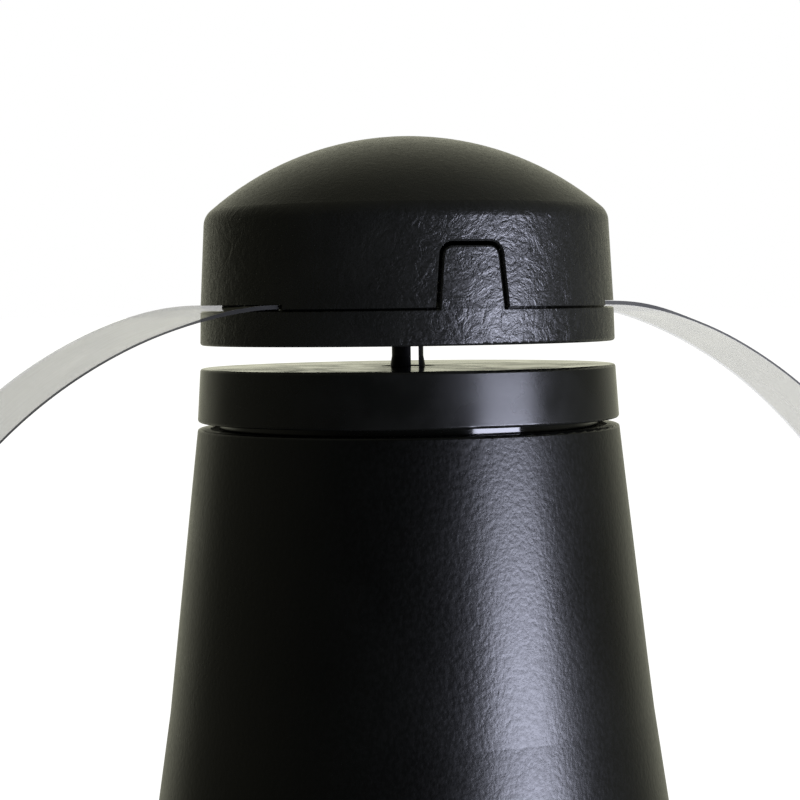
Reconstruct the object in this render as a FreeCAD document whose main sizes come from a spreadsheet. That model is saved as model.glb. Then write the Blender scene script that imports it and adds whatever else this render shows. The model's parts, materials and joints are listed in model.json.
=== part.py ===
import FreeCAD, Part
import math
import os
import Sketcher

# Table-top fly fan: a battery-driven hub turns two limp film blades above a flared stand.
# Frame: millimetres, +Z up, origin on the table under the hub axis, blades along +X and -X.

DIMENSIONS = [
    ("seam_level", 204.2, "height of the seam between rotor cap and rotor base"),
    ("apex_level", 225.0, "top of the domed cap"),
    ("hub_radius", 25.0, "rotor radius at the seam"),
    ("dome_radius", 36.25, "spherical radius of the cap's top"),
    ("cap_corner_radius", 24.41, "cap radius where wall and dome meet"),
    ("cap_corner_round", 2.4, "rounding of that corner"),
    ("seam_chamfer", 0.2, "chamfer on the visible edges of seam, notches and tabs"),
    ("cap_wall", 1.6, "wall of the cap"),
    ("rotor_base_depth", 4.1, "height of the rotor base below the seam"),
    ("rotor_base_radius", 25.1, "rotor base radius at its lower rim"),
    ("disc_rim_round", 0.35, "rounding of the disc's lower rim"),
    ("rotor_plate", 2.0, "thickness of the rotor base plate"),
    ("rotor_hub_radius", 4.6, "radius of the socket under the rotor base"),
    ("rib_width", 1.2, "width of the stiffening ribs"),
    ("tab_height", 7.0, "height of the two tabs above the seam"),
    ("tab_foot_width", 7.9, "width of a tab at the seam"),
    ("tab_top_width", 6.4, "width of a tab at its top"),
    ("tab_corner_round", 1.2, "rounding of a tab's top corners"),
    ("tab_gap", 0.35, "gap on each side of a tab in the cap's notch"),
    ("tab_top_gap", 0.5, "gap above a tab"),
    ("tab_wall", 1.6, "thickness of a tab"),
    ("film_width", 30.0, "width of a blade"),
    ("film_thickness", 0.45, "thickness of a blade"),
    ("film_level", 0.4, "height of the film's middle above the seam"),
    ("film_root_start", 11.0, "radius where the clamped film begins"),
    ("film_root_end", 25.85, "radius where the clamped film ends"),
    ("film_free_start", 26.2, "radius where the free film begins"),
    ("film_free_rise", 0.17, "height of the free film's start above the seam"),
    ("film_tip_round", 9.0, "rounding of a blade's tip corners"),
    ("film_slot_height", 0.7, "height of the cap's slot for the film"),
    ("film_slot_play", 1.2, "extra width of that slot"),
    ("pin_radius", 1.2, "radius of the pins that hold the film"),
    ("pin_height", 2.2, "height of those pins above the seam"),
    ("pin_radial", 17.0, "distance of the pins from the axis, along the blade"),
    ("pin_spread", 9.0, "distance of the pins from the blade's middle line"),
    ("hole_clearance", 0.1, "radial clearance of a hole around a pin or screw"),
    ("post_radius", 1.92, "radius of the split drive post"),
    ("post_top", 2.6, "height of the post's end above the seam"),
    ("post_solid_width", 2.3, "width of the post's solid side"),
    ("post_slot_width", 0.95, "width of the slot beside it"),
    ("post_slot_floor", 0.4, "height of that slot's floor above the shoulder"),
    ("post_sleeve_radius", 2.7, "radius of the sleeve on the motor shaft"),
    ("post_flare", 0.35, "flare at the foot of the post"),
    ("post_sleeve_gap", 0.4, "gap between the motor's nose and the post's sleeve"),
    ("post_shoulder_drop", 0.7, "depth of the post's shoulder below the collar's top"),
    ("post_shoulder_round", 0.5, "height of the slope under the shoulder"),
    ("post_flare_height", 1.9, "height over which the foot of the post flares"),
    ("post_end_chamfer", 0.5, "chamfer at the post's end"),
    ("collar_top_level", 197.3, "top of the collar"),
    ("collar_foot_level", 190.85, "bottom of the collar's visible ring"),
    ("collar_top_radius", 25.13, "collar radius at its top"),
    ("collar_foot_radius", 25.56, "collar radius at the bottom of the ring"),
    ("collar_edge_round", 0.35, "rounding of the collar's edges"),
    ("collar_plate", 2.2, "thickness of the collar's top"),
    ("collar_hole_radius", 3.3, "hole for the drive post"),
    ("deck_radius", 8.0, "radius of the thick deck that the motor rests on"),
    ("neck_radius", 23.9, "radius of the neck that enters the body"),
    ("groove_radius", 23.0, "radius of the open groove between collar and body"),
    ("groove_depth", 0.6, "how far that groove reaches down inside the body"),
    ("neck_wall", 2.0, "wall of the neck"),
    ("neck_clearance", 0.15, "gap between the neck and the body's bore"),
    ("shelf_level", 182.0, "level of the body's shelf that carries the neck"),
    ("shelf_thickness", 2.0, "thickness of the shelf"),
    ("shelf_radius", 18.2, "opening in the shelf"),
    ("body_top_level", 190.05, "top of the body"),
    ("body_top_radius", 25.57, "body radius at its top"),
    ("body_lip_round", 0.35, "rounding of the body's top lip"),
    ("body_kink_level", 155.7, "level where the taper changes"),
    ("body_kink_radius", 29.45, "body radius at that level"),
    ("body_base_level", 18.0, "top of the straight base band"),
    ("body_base_radius", 50.0, "radius of the base band"),
    ("body_base_round", 14.0, "blend between cone and base band"),
    ("body_floor_level", 1.5, "underside of body and base plate"),
    ("body_foot_chamfer", 0.8, "chamfer at the foot of the body"),
    ("body_wall", 2.0, "wall of the body"),
    ("base_plate_radius", 47.7, "radius of the base plate"),
    ("base_plate_thickness", 3.2, "thickness of the base plate"),
    ("base_screw_circle", 42.5, "radius of the circle of base screws"),
    ("base_boss_radius", 3.6, "radius of the bosses for the base screws"),
    ("base_boss_top", 16.0, "top of those bosses"),
    ("base_boss_skin", 1.5, "material left above a base screw's hole"),
    ("base_screw_radius", 1.5, "shank radius of the base screws"),
    ("base_screw_head_radius", 2.7, "head radius of the base screws"),
    ("base_screw_head_height", 1.5, "head height of the base screws"),
    ("base_screw_length", 10.0, "shank length of the base screws"),
    ("base_screw_sink", 0.2, "how far the base screws' heads lie below the surface"),
    ("base_head_clearance", 0.3, "gap around the heads of the base screws"),
    ("small_screw_radius", 1.1, "shank radius of the motor and collar screws"),
    ("small_screw_head_radius", 2.0, "head radius of the motor and collar screws"),
    ("small_screw_head_height", 1.3, "head height of the motor and collar screws"),
    ("small_screw_length", 7.0, "shank length of the motor and collar screws"),
    ("retainer_screw_circle", 15.3, "radius of the circle of motor retainer screws"),
    ("retainer_boss_radius", 2.5, "radius of the bosses for the retainer"),
    ("retainer_radius", 17.9, "radius of the motor retainer"),
    ("retainer_opening", 10.4, "opening in the motor retainer"),
    ("retainer_thickness", 2.0, "thickness of the motor retainer"),
    ("collar_screw_circle", 20.7, "radius of the circle of collar screws"),
    ("collar_boss_radius", 2.3, "radius of the bosses for the collar screws"),
    ("motor_radius", 12.2, "radius of the motor can"),
    ("motor_length", 12.3, "length of the motor can"),
    ("motor_face_level", 189.5, "front face of the motor"),
    ("motor_skin", 0.6, "sheet thickness of the motor can"),
    ("motor_nose_radius", 3.1, "radius of the motor's front boss"),
    ("motor_nose_height", 1.0, "height of the motor's front boss"),
    ("shaft_radius", 1.0, "radius of the motor shaft"),
    ("shaft_top_level", 195.6, "upper end of the motor shaft"),
    ("running_gap", 0.04, "radial clearance of a running fit"),
    ("bush_radius", 2.3, "outer radius of the motor's bushes"),
    ("bush_length", 1.7, "length of the motor's bushes"),
    ("magnet_thickness", 2.0, "radial thickness of the magnets"),
    ("magnet_length", 7.2, "length of the magnets"),
    ("magnet_set_back", 0.6, "distance of the magnets from the can's front wall"),
    ("magnet_gap", 2.5, "distance of a magnet's edge from the middle plane"),
    ("magnet_reach", 13.0, "outer limit of a magnet, beyond its curved back"),
    ("core_radius", 8.9, "radius of the armature core"),
    ("core_length", 4.4, "length of the armature core"),
    ("core_shoe", 1.3, "radial thickness of a pole shoe"),
    ("core_neck_width", 2.4, "width of a pole's neck"),
    ("core_hub_radius", 2.8, "radius of the core's hub"),
    ("core_set_back", 5.4, "height of the core above the motor's back"),
    ("core_clearance", 0.3, "height of the brushes above the end bell"),
    ("core_gap", 0.05, "gap between a pole's neck and its winding"),
    ("winding_start", 1.5, "distance of a winding from the core's hub"),
    ("winding_end", 0.6, "distance of a winding from its pole shoe"),
    ("coil_build", 1.1, "build of a winding around its pole"),
    ("commutator_radius", 2.2, "radius of the commutator"),
    ("commutator_length", 2.2, "length of the commutator"),
    ("brush_gap", 0.1, "gap between brush block and commutator"),
    ("brush_height", 1.4, "height of a brush leaf"),
    ("brush_leaf_sheet", 0.2, "sheet thickness of a brush leaf"),
    ("brush_block_depth", 0.95, "radial depth of a brush block"),
    ("brush_block_width", 0.7, "half the width of a brush block"),
    ("brush_leaf_end", 6.5, "end of a brush leaf, from the middle"),
    ("brush_leaf_start", 1.0, "start of a brush leaf, on the other side of the middle"),
    ("brush_weld", 0.05, "how far a brush block reaches into its leaf"),
    ("end_bell_thickness", 1.8, "thickness of the motor's end bell"),
    ("terminal_offset", 8.0, "distance of the motor terminals from the axis"),
    ("terminal_drop", 3.6, "length of the motor terminals below the can"),
    ("terminal_rise", 0.2, "height of the motor terminals above the end bell"),
    ("terminal_sheet", 0.5, "thickness of a motor terminal"),
    ("terminal_width", 2.0, "width of a motor terminal"),
    ("terminal_slot_play", 0.1, "gap around a terminal in the end bell, across its thickness"),
    ("bay_length", 61.0, "inner length of the battery bay"),
    ("bay_width", 33.0, "inner width of the battery bay"),
    ("bay_ceiling_level", 19.5, "ceiling of the battery bay"),
    ("bay_wall", 1.5, "wall of the battery bay"),
    ("door_thickness", 1.6, "thickness of the battery door"),
    ("door_gap", 0.35, "gap around the battery door"),
    ("door_pin_radius", 0.6, "radius of the door's hinge pin"),
    ("door_pin_reach", 1.3, "reach of the hinge pin into each side"),
    ("door_ridge", 0.4, "height of the door's grip ridges"),
    ("door_ridge_width", 1.0, "width of a grip ridge"),
    ("door_ridge_pitch", 2.2, "spacing of the grip ridges"),
    ("door_ridge_length", 16.0, "length of the grip ridges"),
    ("door_ridge_inset", 4.0, "distance of the first ridge from the door's free end"),
    ("door_pin_play", 0.06, "radial clearance of the hinge pin"),
    ("door_pin_end_play", 0.3, "axial clearance of the hinge pin"),
    ("cell_radius", 7.05, "radius of a battery cell"),
    ("cell_length", 49.2, "length of a cell's can"),
    ("cell_nub_radius", 2.75, "radius of a cell's positive nub"),
    ("cell_nub_height", 1.3, "height of a cell's positive nub"),
    ("cell_spread", 7.6, "distance of each cell from the middle"),
    ("cell_level", 10.8, "height of the cells' axes"),
    ("contact_sheet", 0.4, "thickness of the battery contacts"),
    ("contact_gap", 1.0, "distance of the contact plates from the bay's end walls"),
    ("contact_width", 11.0, "width of a single battery contact"),
    ("contact_half_height", 6.0, "half the height of a battery contact"),
    ("contact_tab_width", 3.0, "width of a contact's solder tab"),
    ("contact_tab_top", 23.0, "top of the solder tabs"),
    ("spring_wire", 0.45, "wire radius of the battery springs"),
    ("spring_radius", 4.6, "largest coil radius of the battery springs"),
    ("spring_taper", 0.22, "loss of radius from one spring coil to the next"),
    ("switch_y", -33.0, "position of the slide switch"),
    ("switch_length", 9.0, "length of the switch case"),
    ("switch_width", 4.4, "width of the switch case"),
    ("switch_height", 4.0, "height of the switch case"),
    ("switch_frame_length", 18.0, "length of the switch's mounting frame"),
    ("switch_frame_sheet", 0.4, "sheet thickness of that frame"),
    ("switch_screw_spread", 7.0, "distance of the switch screws from its middle"),
    ("switch_pilot_depth", 2.0, "depth of the holes for the switch screws"),
    ("switch_screw_radius", 0.8, "shank radius of the switch screws"),
    ("switch_screw_head_radius", 1.5, "head radius of the switch screws"),
    ("switch_screw_head_height", 0.9, "head height of the switch screws"),
    ("switch_screw_length", 2.2, "shank length of the switch screws"),
    ("switch_travel", 3.0, "travel of the switch knob"),
    ("switch_play", 0.4, "gap around the knob in the base plate"),
    ("switch_window_play", 0.35, "gap around the knob in frame and case"),
    ("switch_chamber", 2.6, "height of the case's chamber"),
    ("switch_pin_length", 3.2, "length of the switch's pins"),
    ("switch_pin_width", 0.8, "width of a switch pin"),
    ("switch_pin_pitch", 2.5, "spacing of the switch's pins"),
    ("finger_recess_depth", 1.2, "depth of the finger recess around the switch"),
    ("finger_recess_length", 14.0, "length of the finger recess"),
    ("finger_recess_width", 9.0, "width of the finger recess"),
    ("knob_length", 2.0, "length of the switch knob's stem"),
    ("knob_width", 1.6, "width of the switch knob's stem"),
    ("knob_bottom_level", 0.7, "lowest point of the switch knob"),
    ("knob_stem_height", 2.2, "reach of the knob's stem into the case"),
    ("foot_radius", 4.5, "radius of a rubber foot"),
    ("foot_height", 3.0, "height of a rubber foot"),
    ("foot_chamfer", 0.4, "chamfer around a foot's tread"),
    ("foot_play", 0.05, "radial clearance of a foot in its recess"),
    ("foot_circle", 38.0, "radius of the circle of feet"),
    ("lead_radius", 0.6, "radius of an insulated lead"),
]

BLADE_START_SLOPE = 11.3                # degrees below horizontal where the free film begins
BLADE_BENDS = [                         # (length in mm, turn in degrees) of the blade's arcs
    (12.0, 14.8),
    (20.0, 20.8),
    (25.0, 19.0),
    (40.0, 12.0),
    (76.0, 4.0),
]
POST_TURN = -17.0                       # degrees from the blades to the flat of the drive post
SCREW_ANGLES = (0.0, 90.0, 180.0, 270.0)
FOOT_ANGLES = (45.0, 135.0, 225.0, 315.0)
RETAINER_ANGLES = (30.0, 150.0, 270.0)
COLLAR_ANGLES = (90.0, 210.0, 330.0)
POLE_ANGLES = (0.0, 120.0, 240.0)
SHOE_HALF_ANGLE = 50.0                  # half the angle that a pole shoe spans
DISC_RIBS = 6                           # stiffening ribs under the rotor's disc
DOOR_RIDGES = 3                         # grip ridges on the battery door
SPRING_COILS = 10                       # coils of a battery spring
TAB_LEAN = 0.62                         # how far a tab leans in, as a share of the cap wall's lean
RECESS_REACH = 0.6                      # arm of a screw's cross recess, as a share of the head radius
RECESS_WIDTH = 0.22                     # half the arm's width, as a share of the shank radius
TANGENT_SHARE = 0.45                    # part of the shorter run used up by a lead's bend
VOLUME_ERROR = 0.01                     # accepted error of a swept lead's volume
OVERLAP = 0.5                           # how far joined features reach into each other
LEAD_GAP = 0.15                         # solder gap between a lead's end and its tab

doc = FreeCAD.newDocument("fly_fan")
sheet = doc.addObject("Spreadsheet::Sheet", "dimensions")
nodes = {}


class Dim:
    """A length with the sheet expression that it comes from, so that sums keep both."""

    def __init__(self, value, text):
        self.value = value
        self.text = text

    def __add__(self, other):
        other = dim(other)
        return Dim(self.value + other.value, f"({self.text} + {other.text})")

    def __sub__(self, other):
        other = dim(other)
        return Dim(self.value - other.value, f"({self.text} - {other.text})")

    def __rsub__(self, other):
        return dim(other) - self

    def __mul__(self, other):
        other = dim(other)
        return Dim(self.value * other.value, f"({self.text} * {other.text})")

    def __truediv__(self, other):
        other = dim(other)
        return Dim(self.value / other.value, f"({self.text} / {other.text})")

    def __neg__(self):
        return dim(0.0) - self

    def root(self):
        return Dim(math.sqrt(self.value), f"sqrt({self.text})")

    __radd__ = __add__
    __rmul__ = __mul__


def dim(thing):
    if isinstance(thing, Dim):
        return thing
    return Dim(float(thing), f"({float(thing):.9f})")


def fill_sheet():
    """Write each driving dimension as a plain number with an alias, and return them by name."""
    for row, (alias, value, meaning) in enumerate(DIMENSIONS, start=1):
        sheet.set(f"A{row}", meaning)
        sheet.set(f"B{row}", str(value))
        sheet.setAlias(f"B{row}", alias)
    doc.recompute()
    return {alias: Dim(value, f"dimensions.{alias}") for alias, value, _ in DIMENSIONS}


def bind(thing, path, quantity):
    thing.setExpression(path, dim(quantity).text)


def polar(radius, angle):
    """X and Y of a point at this radius, turned by this angle from +X."""
    return radius * math.cos(math.radians(angle)), radius * math.sin(math.radians(angle))


# ---------------------------------------------------------------- sketched bodies

def new_body(name):
    body = doc.addObject("PartDesign::Body", name)
    body.Label = name
    return body


def origin_feature(body, role):
    return next(feature for feature in body.Origin.OriginFeatures if feature.Role == role)


def new_sketch(body, name, role, level=0.0):
    sketch = body.newObject("Sketcher::SketchObject", name)
    sketch.AttachmentSupport = [(origin_feature(body, role), "")]
    sketch.MapMode = "FlatFace"
    bind(sketch, ".AttachmentOffset.Base.z", level)
    return sketch


def pin_number(sketch, kind, where, quantity):
    """Add one dimensional constraint and bind it to the sheet."""
    quantity = dim(quantity)
    index = sketch.addConstraint(Sketcher.Constraint(kind, *where, quantity.value))
    bind(sketch, f"Constraints[{index}]", quantity)


def segment(start, end, radius):
    """A line, or an arc that turns left for a positive radius and right for a negative one."""
    first = FreeCAD.Vector(start[0].value, start[1].value, 0)
    last = FreeCAD.Vector(end[0].value, end[1].value, 0)
    if radius is None:
        return Part.LineSegment(first, last)
    chord = last - first
    half = chord.Length / 2
    bow = abs(radius.value) - math.sqrt(radius.value ** 2 - half ** 2)
    outward = FreeCAD.Vector(chord.y, -chord.x, 0).normalize() * math.copysign(bow, radius.value)
    return Part.Arc(first, (first + last) / 2 + outward, last)


def draw_outline(sketch, outline):
    """Draw a closed outline of (x, y) corners; a third value is the radius of the next edge."""
    corners = [(dim(corner[0]), dim(corner[1])) for corner in outline]
    radii = [dim(corner[2]) if len(corner) > 2 else None for corner in outline]
    count = len(corners)
    base = sketch.GeometryCount
    ends = []
    for index in range(count):
        sketch.addGeometry(segment(corners[index], corners[(index + 1) % count], radii[index]))
        turns_right = radii[index] is not None and radii[index].value < 0
        ends.append((2, 1) if turns_right else (1, 2))
    for index in range(count):
        following = (index + 1) % count
        sketch.addConstraint(Sketcher.Constraint(
            "Coincident", base + index, ends[index][1], base + following, ends[following][0]))
        start = (base + index, ends[index][0])
        pin_number(sketch, "DistanceX", start, corners[index][0])
        pin_number(sketch, "DistanceY", start, corners[index][1])
        if radii[index] is not None:
            radius = radii[index] if radii[index].value > 0 else -radii[index]
            pin_number(sketch, "Radius", (base + index,), radius)


def draw_circle(sketch, x, y, radius):
    x, y, radius = dim(x), dim(y), dim(radius)
    centre = FreeCAD.Vector(x.value, y.value, 0)
    index = sketch.addGeometry(Part.Circle(centre, FreeCAD.Vector(0, 0, 1), radius.value))
    pin_number(sketch, "Radius", (index,), radius)
    pin_number(sketch, "DistanceX", (index, 3), x)
    pin_number(sketch, "DistanceY", (index, 3), y)


def rectangle(x_low, x_high, y_low, y_high):
    return [(x_low, y_low), (x_high, y_low), (x_high, y_high), (x_low, y_high)]


def revolve(body, name, outline):
    """Turn a half-section of (radius, height) corners about the Z axis."""
    sketch = new_sketch(body, name + "_section", "XZ_Plane")
    draw_outline(sketch, outline)
    feature = body.newObject("PartDesign::Revolution", name)
    feature.Profile = sketch
    feature.ReferenceAxis = (origin_feature(body, "Z_Axis"), [""])
    feature.Angle = 360.0
    sketch.Visibility = False
    doc.recompute()
    return feature


def add_shapes(sketch, outlines, circles):
    for outline in outlines:
        draw_outline(sketch, outline)
    for x, y, radius in circles:
        draw_circle(sketch, x, y, radius)


def pad(body, name, bottom, top, outlines=(), circles=()):
    """Raise material between two heights."""
    sketch = new_sketch(body, name + "_plan", "XY_Plane", bottom)
    add_shapes(sketch, outlines, circles)
    feature = body.newObject("PartDesign::Pad", name)
    feature.Profile = sketch
    bind(feature, "Length", top - bottom)
    doc.recompute()
    return feature


def pocket(body, name, bottom, top, outlines=(), circles=()):
    """Remove material between two heights, and make sure that some was removed."""
    before = body.Shape.Volume
    sketch = new_sketch(body, name + "_plan", "XY_Plane", top)
    add_shapes(sketch, outlines, circles)
    feature = body.newObject("PartDesign::Pocket", name)
    feature.Profile = sketch
    bind(feature, "Length", top - bottom)
    doc.recompute()
    if not body.Shape.Volume < before:
        raise RuntimeError(f"{name} removed nothing")
    return feature


def side_pocket(body, name, role, outlines=(), circles=(), length=None):
    """Cut straight through along the plane's normal, evenly to both sides."""
    before = body.Shape.Volume
    sketch = new_sketch(body, name + "_side", role)
    add_shapes(sketch, outlines, circles)
    feature = body.newObject("PartDesign::Pocket", name)
    feature.Profile = sketch
    feature.Midplane = True
    if length is None:
        feature.Type = "ThroughAll"
    else:
        bind(feature, "Length", length)
    doc.recompute()
    if not body.Shape.Volume < before:
        raise RuntimeError(f"{name} removed nothing")
    return feature


def repeat_round(body, name, features, count):
    pattern = body.newObject("PartDesign::PolarPattern", name)
    pattern.Originals = features
    pattern.Axis = (origin_feature(body, "Z_Axis"), [""])
    pattern.Angle = 360.0
    pattern.Occurrences = count
    body.Tip = pattern
    doc.recompute()
    return pattern


def dress(body, kind, name, base, size, wanted):
    """Fillet or chamfer the edges of a feature that the test picks."""
    edges = [f"Edge{i}" for i, edge in enumerate(base.Shape.Edges, start=1)
             if not edge.Degenerated and wanted(edge)]
    if not edges:
        raise RuntimeError(f"{name} found no edges")
    feature = body.newObject("PartDesign::" + kind, name)
    feature.Base = (base, edges)
    bind(feature, "Radius" if kind == "Fillet" else "Size", size)
    body.Tip = feature
    doc.recompute()
    return feature


def round_edge_at(radius, level):
    """A test for the circular edge about the axis with this radius and height."""
    radius, level = dim(radius).value, dim(level).value

    def wanted(edge):
        curve = edge.Curve
        if not isinstance(curve, Part.Circle):
            return False
        return abs(curve.Radius - radius) < 0.01 and abs(curve.Center.z - level) < 0.01

    return wanted


def edges_along(direction, test):
    """A test for straight edges along a direction whose middle passes a further test."""
    def wanted(edge):
        if not isinstance(edge.Curve, Part.Line):
            return False
        return abs(edge.Curve.Direction.dot(direction)) > 0.99 and test(edge.CenterOfMass)

    return wanted


def outer_outline(d, low, high):
    """A test for the edges of a notch or tab that lie on the rotor's outer wall between two levels."""
    reach = dim(d["tab_foot_width"] / 2 + d["tab_gap"] * 2).value
    outside = dim(d["hub_radius"] - d["tab_wall"] / 2).value
    low, high = dim(low).value, dim(high).value

    def wanted(edge):
        middle = edge.CenterOfMass
        ends = [math.hypot(vertex.X, vertex.Y) for vertex in edge.Vertexes]
        return abs(middle.x) < reach and low < middle.z < high and min(ends) > outside

    return wanted


# ---------------------------------------------------------------- primitives and booleans

TURNS = {
    "Z": FreeCAD.Rotation(),
    "X": FreeCAD.Rotation(FreeCAD.Vector(0, 1, 0), 90),
    "-X": FreeCAD.Rotation(FreeCAD.Vector(0, 1, 0), -90),
    "Y": FreeCAD.Rotation(FreeCAD.Vector(1, 0, 0), -90),
}


def place(thing, x, y, z):
    bind(thing, ".Placement.Base.x", x)
    bind(thing, ".Placement.Base.y", y)
    bind(thing, ".Placement.Base.z", z)


def cylinder(name, radius, length, x, y, z, axis="Z"):
    """A cylinder that starts at (x, y, z) and runs along an axis."""
    solid = doc.addObject("Part::Cylinder", name)
    solid.Label = name
    solid.Placement = FreeCAD.Placement(FreeCAD.Vector(), TURNS[axis])
    bind(solid, "Radius", radius)
    bind(solid, "Height", length)
    place(solid, x, y, z)
    return solid


def box(name, x_low, x_high, y_low, y_high, z_low, z_high):
    solid = doc.addObject("Part::Box", name)
    solid.Label = name
    bind(solid, "Length", dim(x_high) - x_low)
    bind(solid, "Width", dim(y_high) - y_low)
    bind(solid, "Height", dim(z_high) - z_low)
    place(solid, x_low, y_low, z_low)
    return solid


def ring(name, x, y, z, radius, tube):
    """A ring about an axis along X, such as one coil of a battery spring."""
    solid = doc.addObject("Part::Torus", name)
    solid.Label = name
    solid.Placement = FreeCAD.Placement(FreeCAD.Vector(), TURNS["X"])
    bind(solid, "Radius1", radius)
    bind(solid, "Radius2", tube)
    place(solid, x, y, z)
    return solid


def cut(name, base, tool):
    result = doc.addObject("Part::Cut", name)
    result.Label = name
    result.Base = base
    result.Tool = tool
    return result


def fuse(name, *solids):
    result = doc.addObject("Part::MultiFuse", name)
    result.Label = name
    result.Shapes = list(solids)
    result.Refine = True
    return result


def common(name, *solids):
    result = doc.addObject("Part::MultiCommon", name)
    result.Label = name
    result.Shapes = list(solids)
    result.Refine = True
    return result


def bevel(name, solid, size, wanted):
    """Chamfer the edges of a finished solid that the test picks."""
    doc.recompute()
    size = dim(size).value
    chosen = [i for i, edge in enumerate(solid.Shape.Edges, start=1) if wanted(edge)]
    if not chosen:
        raise RuntimeError(f"{name} found no edges")
    result = doc.addObject("Part::Chamfer", name)
    result.Base = solid
    result.Edges = [(i, size, size) for i in chosen]
    doc.recompute()
    return result


def group(name, solids):
    result = doc.addObject("Part::Compound", name)
    result.Label = name
    result.Links = list(solids)
    return result


def turned(name, solid, angle):
    """A copy of a solid, turned about the Z axis."""
    copy = doc.addObject("Part::Compound", name)
    copy.Label = name
    copy.Links = [solid]
    copy.Placement = FreeCAD.Placement(
        FreeCAD.Vector(), FreeCAD.Rotation(FreeCAD.Vector(0, 0, 1), angle))
    return copy


def keep(name, thing):
    """Register the object that becomes the file parts/NAME.step."""
    thing.Label = name
    nodes[name] = thing
    return thing


# ---------------------------------------------------------------- rotor

def half_tab(width_foot, width_top, foot, top):
    """Corners of a tab or notch that narrows upwards, as seen along Y."""
    return [(-width_foot / 2, foot), (width_foot / 2, foot), (width_top / 2, top), (-width_top / 2, top)]


def rotor_cap(d):
    """Domed cap with two notches for the tabs and two slots for the film."""
    body = new_body("rotor_cap")
    centre = d["apex_level"] - d["dome_radius"]
    inner_dome = d["dome_radius"] - d["cap_wall"]
    inner_corner = d["cap_corner_radius"] - d["cap_wall"]
    corner = centre + (d["dome_radius"] * d["dome_radius"]
                       - d["cap_corner_radius"] * d["cap_corner_radius"]).root()
    inner_level = centre + (inner_dome * inner_dome - inner_corner * inner_corner).root()
    shell = revolve(body, "cap_shell", [
        (d["hub_radius"] - d["seam_chamfer"], d["seam_level"]),
        (d["hub_radius"], d["seam_level"] + d["seam_chamfer"]),
        (d["cap_corner_radius"], corner, d["dome_radius"]),
        (0.0, d["apex_level"]),
        (0.0, centre + inner_dome, -inner_dome),
        (inner_corner, inner_level),
        (d["hub_radius"] - d["cap_wall"], d["seam_level"]),
    ])
    dress(body, "Fillet", "cap_corner", shell, d["cap_corner_round"],
          round_edge_at(d["cap_corner_radius"], corner))
    gap = d["tab_gap"]
    notch_top = d["seam_level"] + d["tab_height"] + d["tab_top_gap"]
    notch = side_pocket(body, "cap_notches", "XZ_Plane", [half_tab(
        d["tab_foot_width"] + gap * 2, d["tab_top_width"] + gap * 2,
        d["seam_level"] - OVERLAP, notch_top)])
    top = notch_top.value
    dress(body, "Fillet", "cap_notch_corners", notch, d["tab_corner_round"] + gap,
          edges_along(FreeCAD.Vector(0, 1, 0), lambda middle: abs(middle.z - top) < 0.01))
    half_slot = (d["film_width"] + d["film_slot_play"]) / 2
    slots = side_pocket(body, "cap_film_slots", "YZ_Plane", [rectangle(
        -half_slot, half_slot, d["seam_level"] - OVERLAP, d["seam_level"] + d["film_slot_height"])])
    dress(body, "Chamfer", "cap_notch_edges", slots, d["seam_chamfer"],
          outer_outline(d, d["seam_level"] + d["seam_chamfer"] * 1.5, notch_top + OVERLAP))
    keep("rotor_cap", body)


def rotor_base(d):
    """Disc under the cap with its skirt, ribs, socket, film pins and two upstanding tabs."""
    body = new_body("rotor_disc")
    bottom = d["seam_level"] - d["rotor_base_depth"]
    under = d["seam_level"] - d["rotor_plate"]
    skirt = d["rotor_base_radius"] - d["cap_wall"]
    disc = revolve(body, "disc_plate", [
        (d["post_radius"] + d["running_gap"], bottom),
        (d["rotor_hub_radius"], bottom),
        (d["rotor_hub_radius"], under),
        (skirt, under),
        (skirt, bottom),
        (d["rotor_base_radius"], bottom),
        (d["hub_radius"], d["seam_level"] - d["seam_chamfer"]),
        (d["hub_radius"] - d["seam_chamfer"], d["seam_level"]),
        (d["post_radius"] + d["running_gap"], d["seam_level"]),
    ])
    dress(body, "Fillet", "disc_rim", disc, d["disc_rim_round"],
          round_edge_at(d["rotor_base_radius"], bottom))
    rib = pad(body, "disc_rib", bottom + OVERLAP, under + OVERLAP, [rectangle(
        d["rotor_hub_radius"] - OVERLAP, skirt + OVERLAP, -d["rib_width"] / 2, d["rib_width"] / 2)])
    repeat_round(body, "disc_ribs", [rib], DISC_RIBS)
    pad(body, "film_pins", d["seam_level"] - OVERLAP, d["seam_level"] + d["pin_height"], circles=[
        (d["pin_radial"] * x, d["pin_spread"] * y, d["pin_radius"]) for x in (-1, 1) for y in (-1, 1)])

    wall = new_body("tab_wall_ring")
    foot = d["seam_level"] - OVERLAP * 2
    top = d["seam_level"] + d["tab_height"]
    lean = (d["hub_radius"] - d["cap_corner_radius"]) * TAB_LEAN
    revolve(wall, "tab_wall_section", [
        (d["hub_radius"] - d["tab_wall"], foot),
        (d["hub_radius"], foot),
        (d["hub_radius"], d["seam_level"]),
        (d["hub_radius"] - lean, top),
        (d["hub_radius"] - lean - d["tab_wall"], top),
    ])
    prism = new_body("tab_prism")
    sketch = new_sketch(prism, "tab_outline", "XZ_Plane")
    draw_outline(sketch, half_tab(d["tab_foot_width"], d["tab_top_width"], foot, top))
    feature = prism.newObject("PartDesign::Pad", "tab_length")
    feature.Profile = sketch
    feature.Midplane = True
    bind(feature, "Length", (d["hub_radius"] + OVERLAP) * 2)
    doc.recompute()
    dress(prism, "Fillet", "tab_corners", feature, d["tab_corner_round"],
          edges_along(FreeCAD.Vector(0, 1, 0), lambda middle: abs(middle.z - top.value) < 0.01))
    tabs = common("rotor_tabs", wall, prism)
    tabs = bevel("tab_edges", tabs, d["seam_chamfer"],
                 outer_outline(d, d["seam_level"] - OVERLAP, top + OVERLAP))
    keep("rotor_base", fuse("rotor_base", body, tabs))


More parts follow.
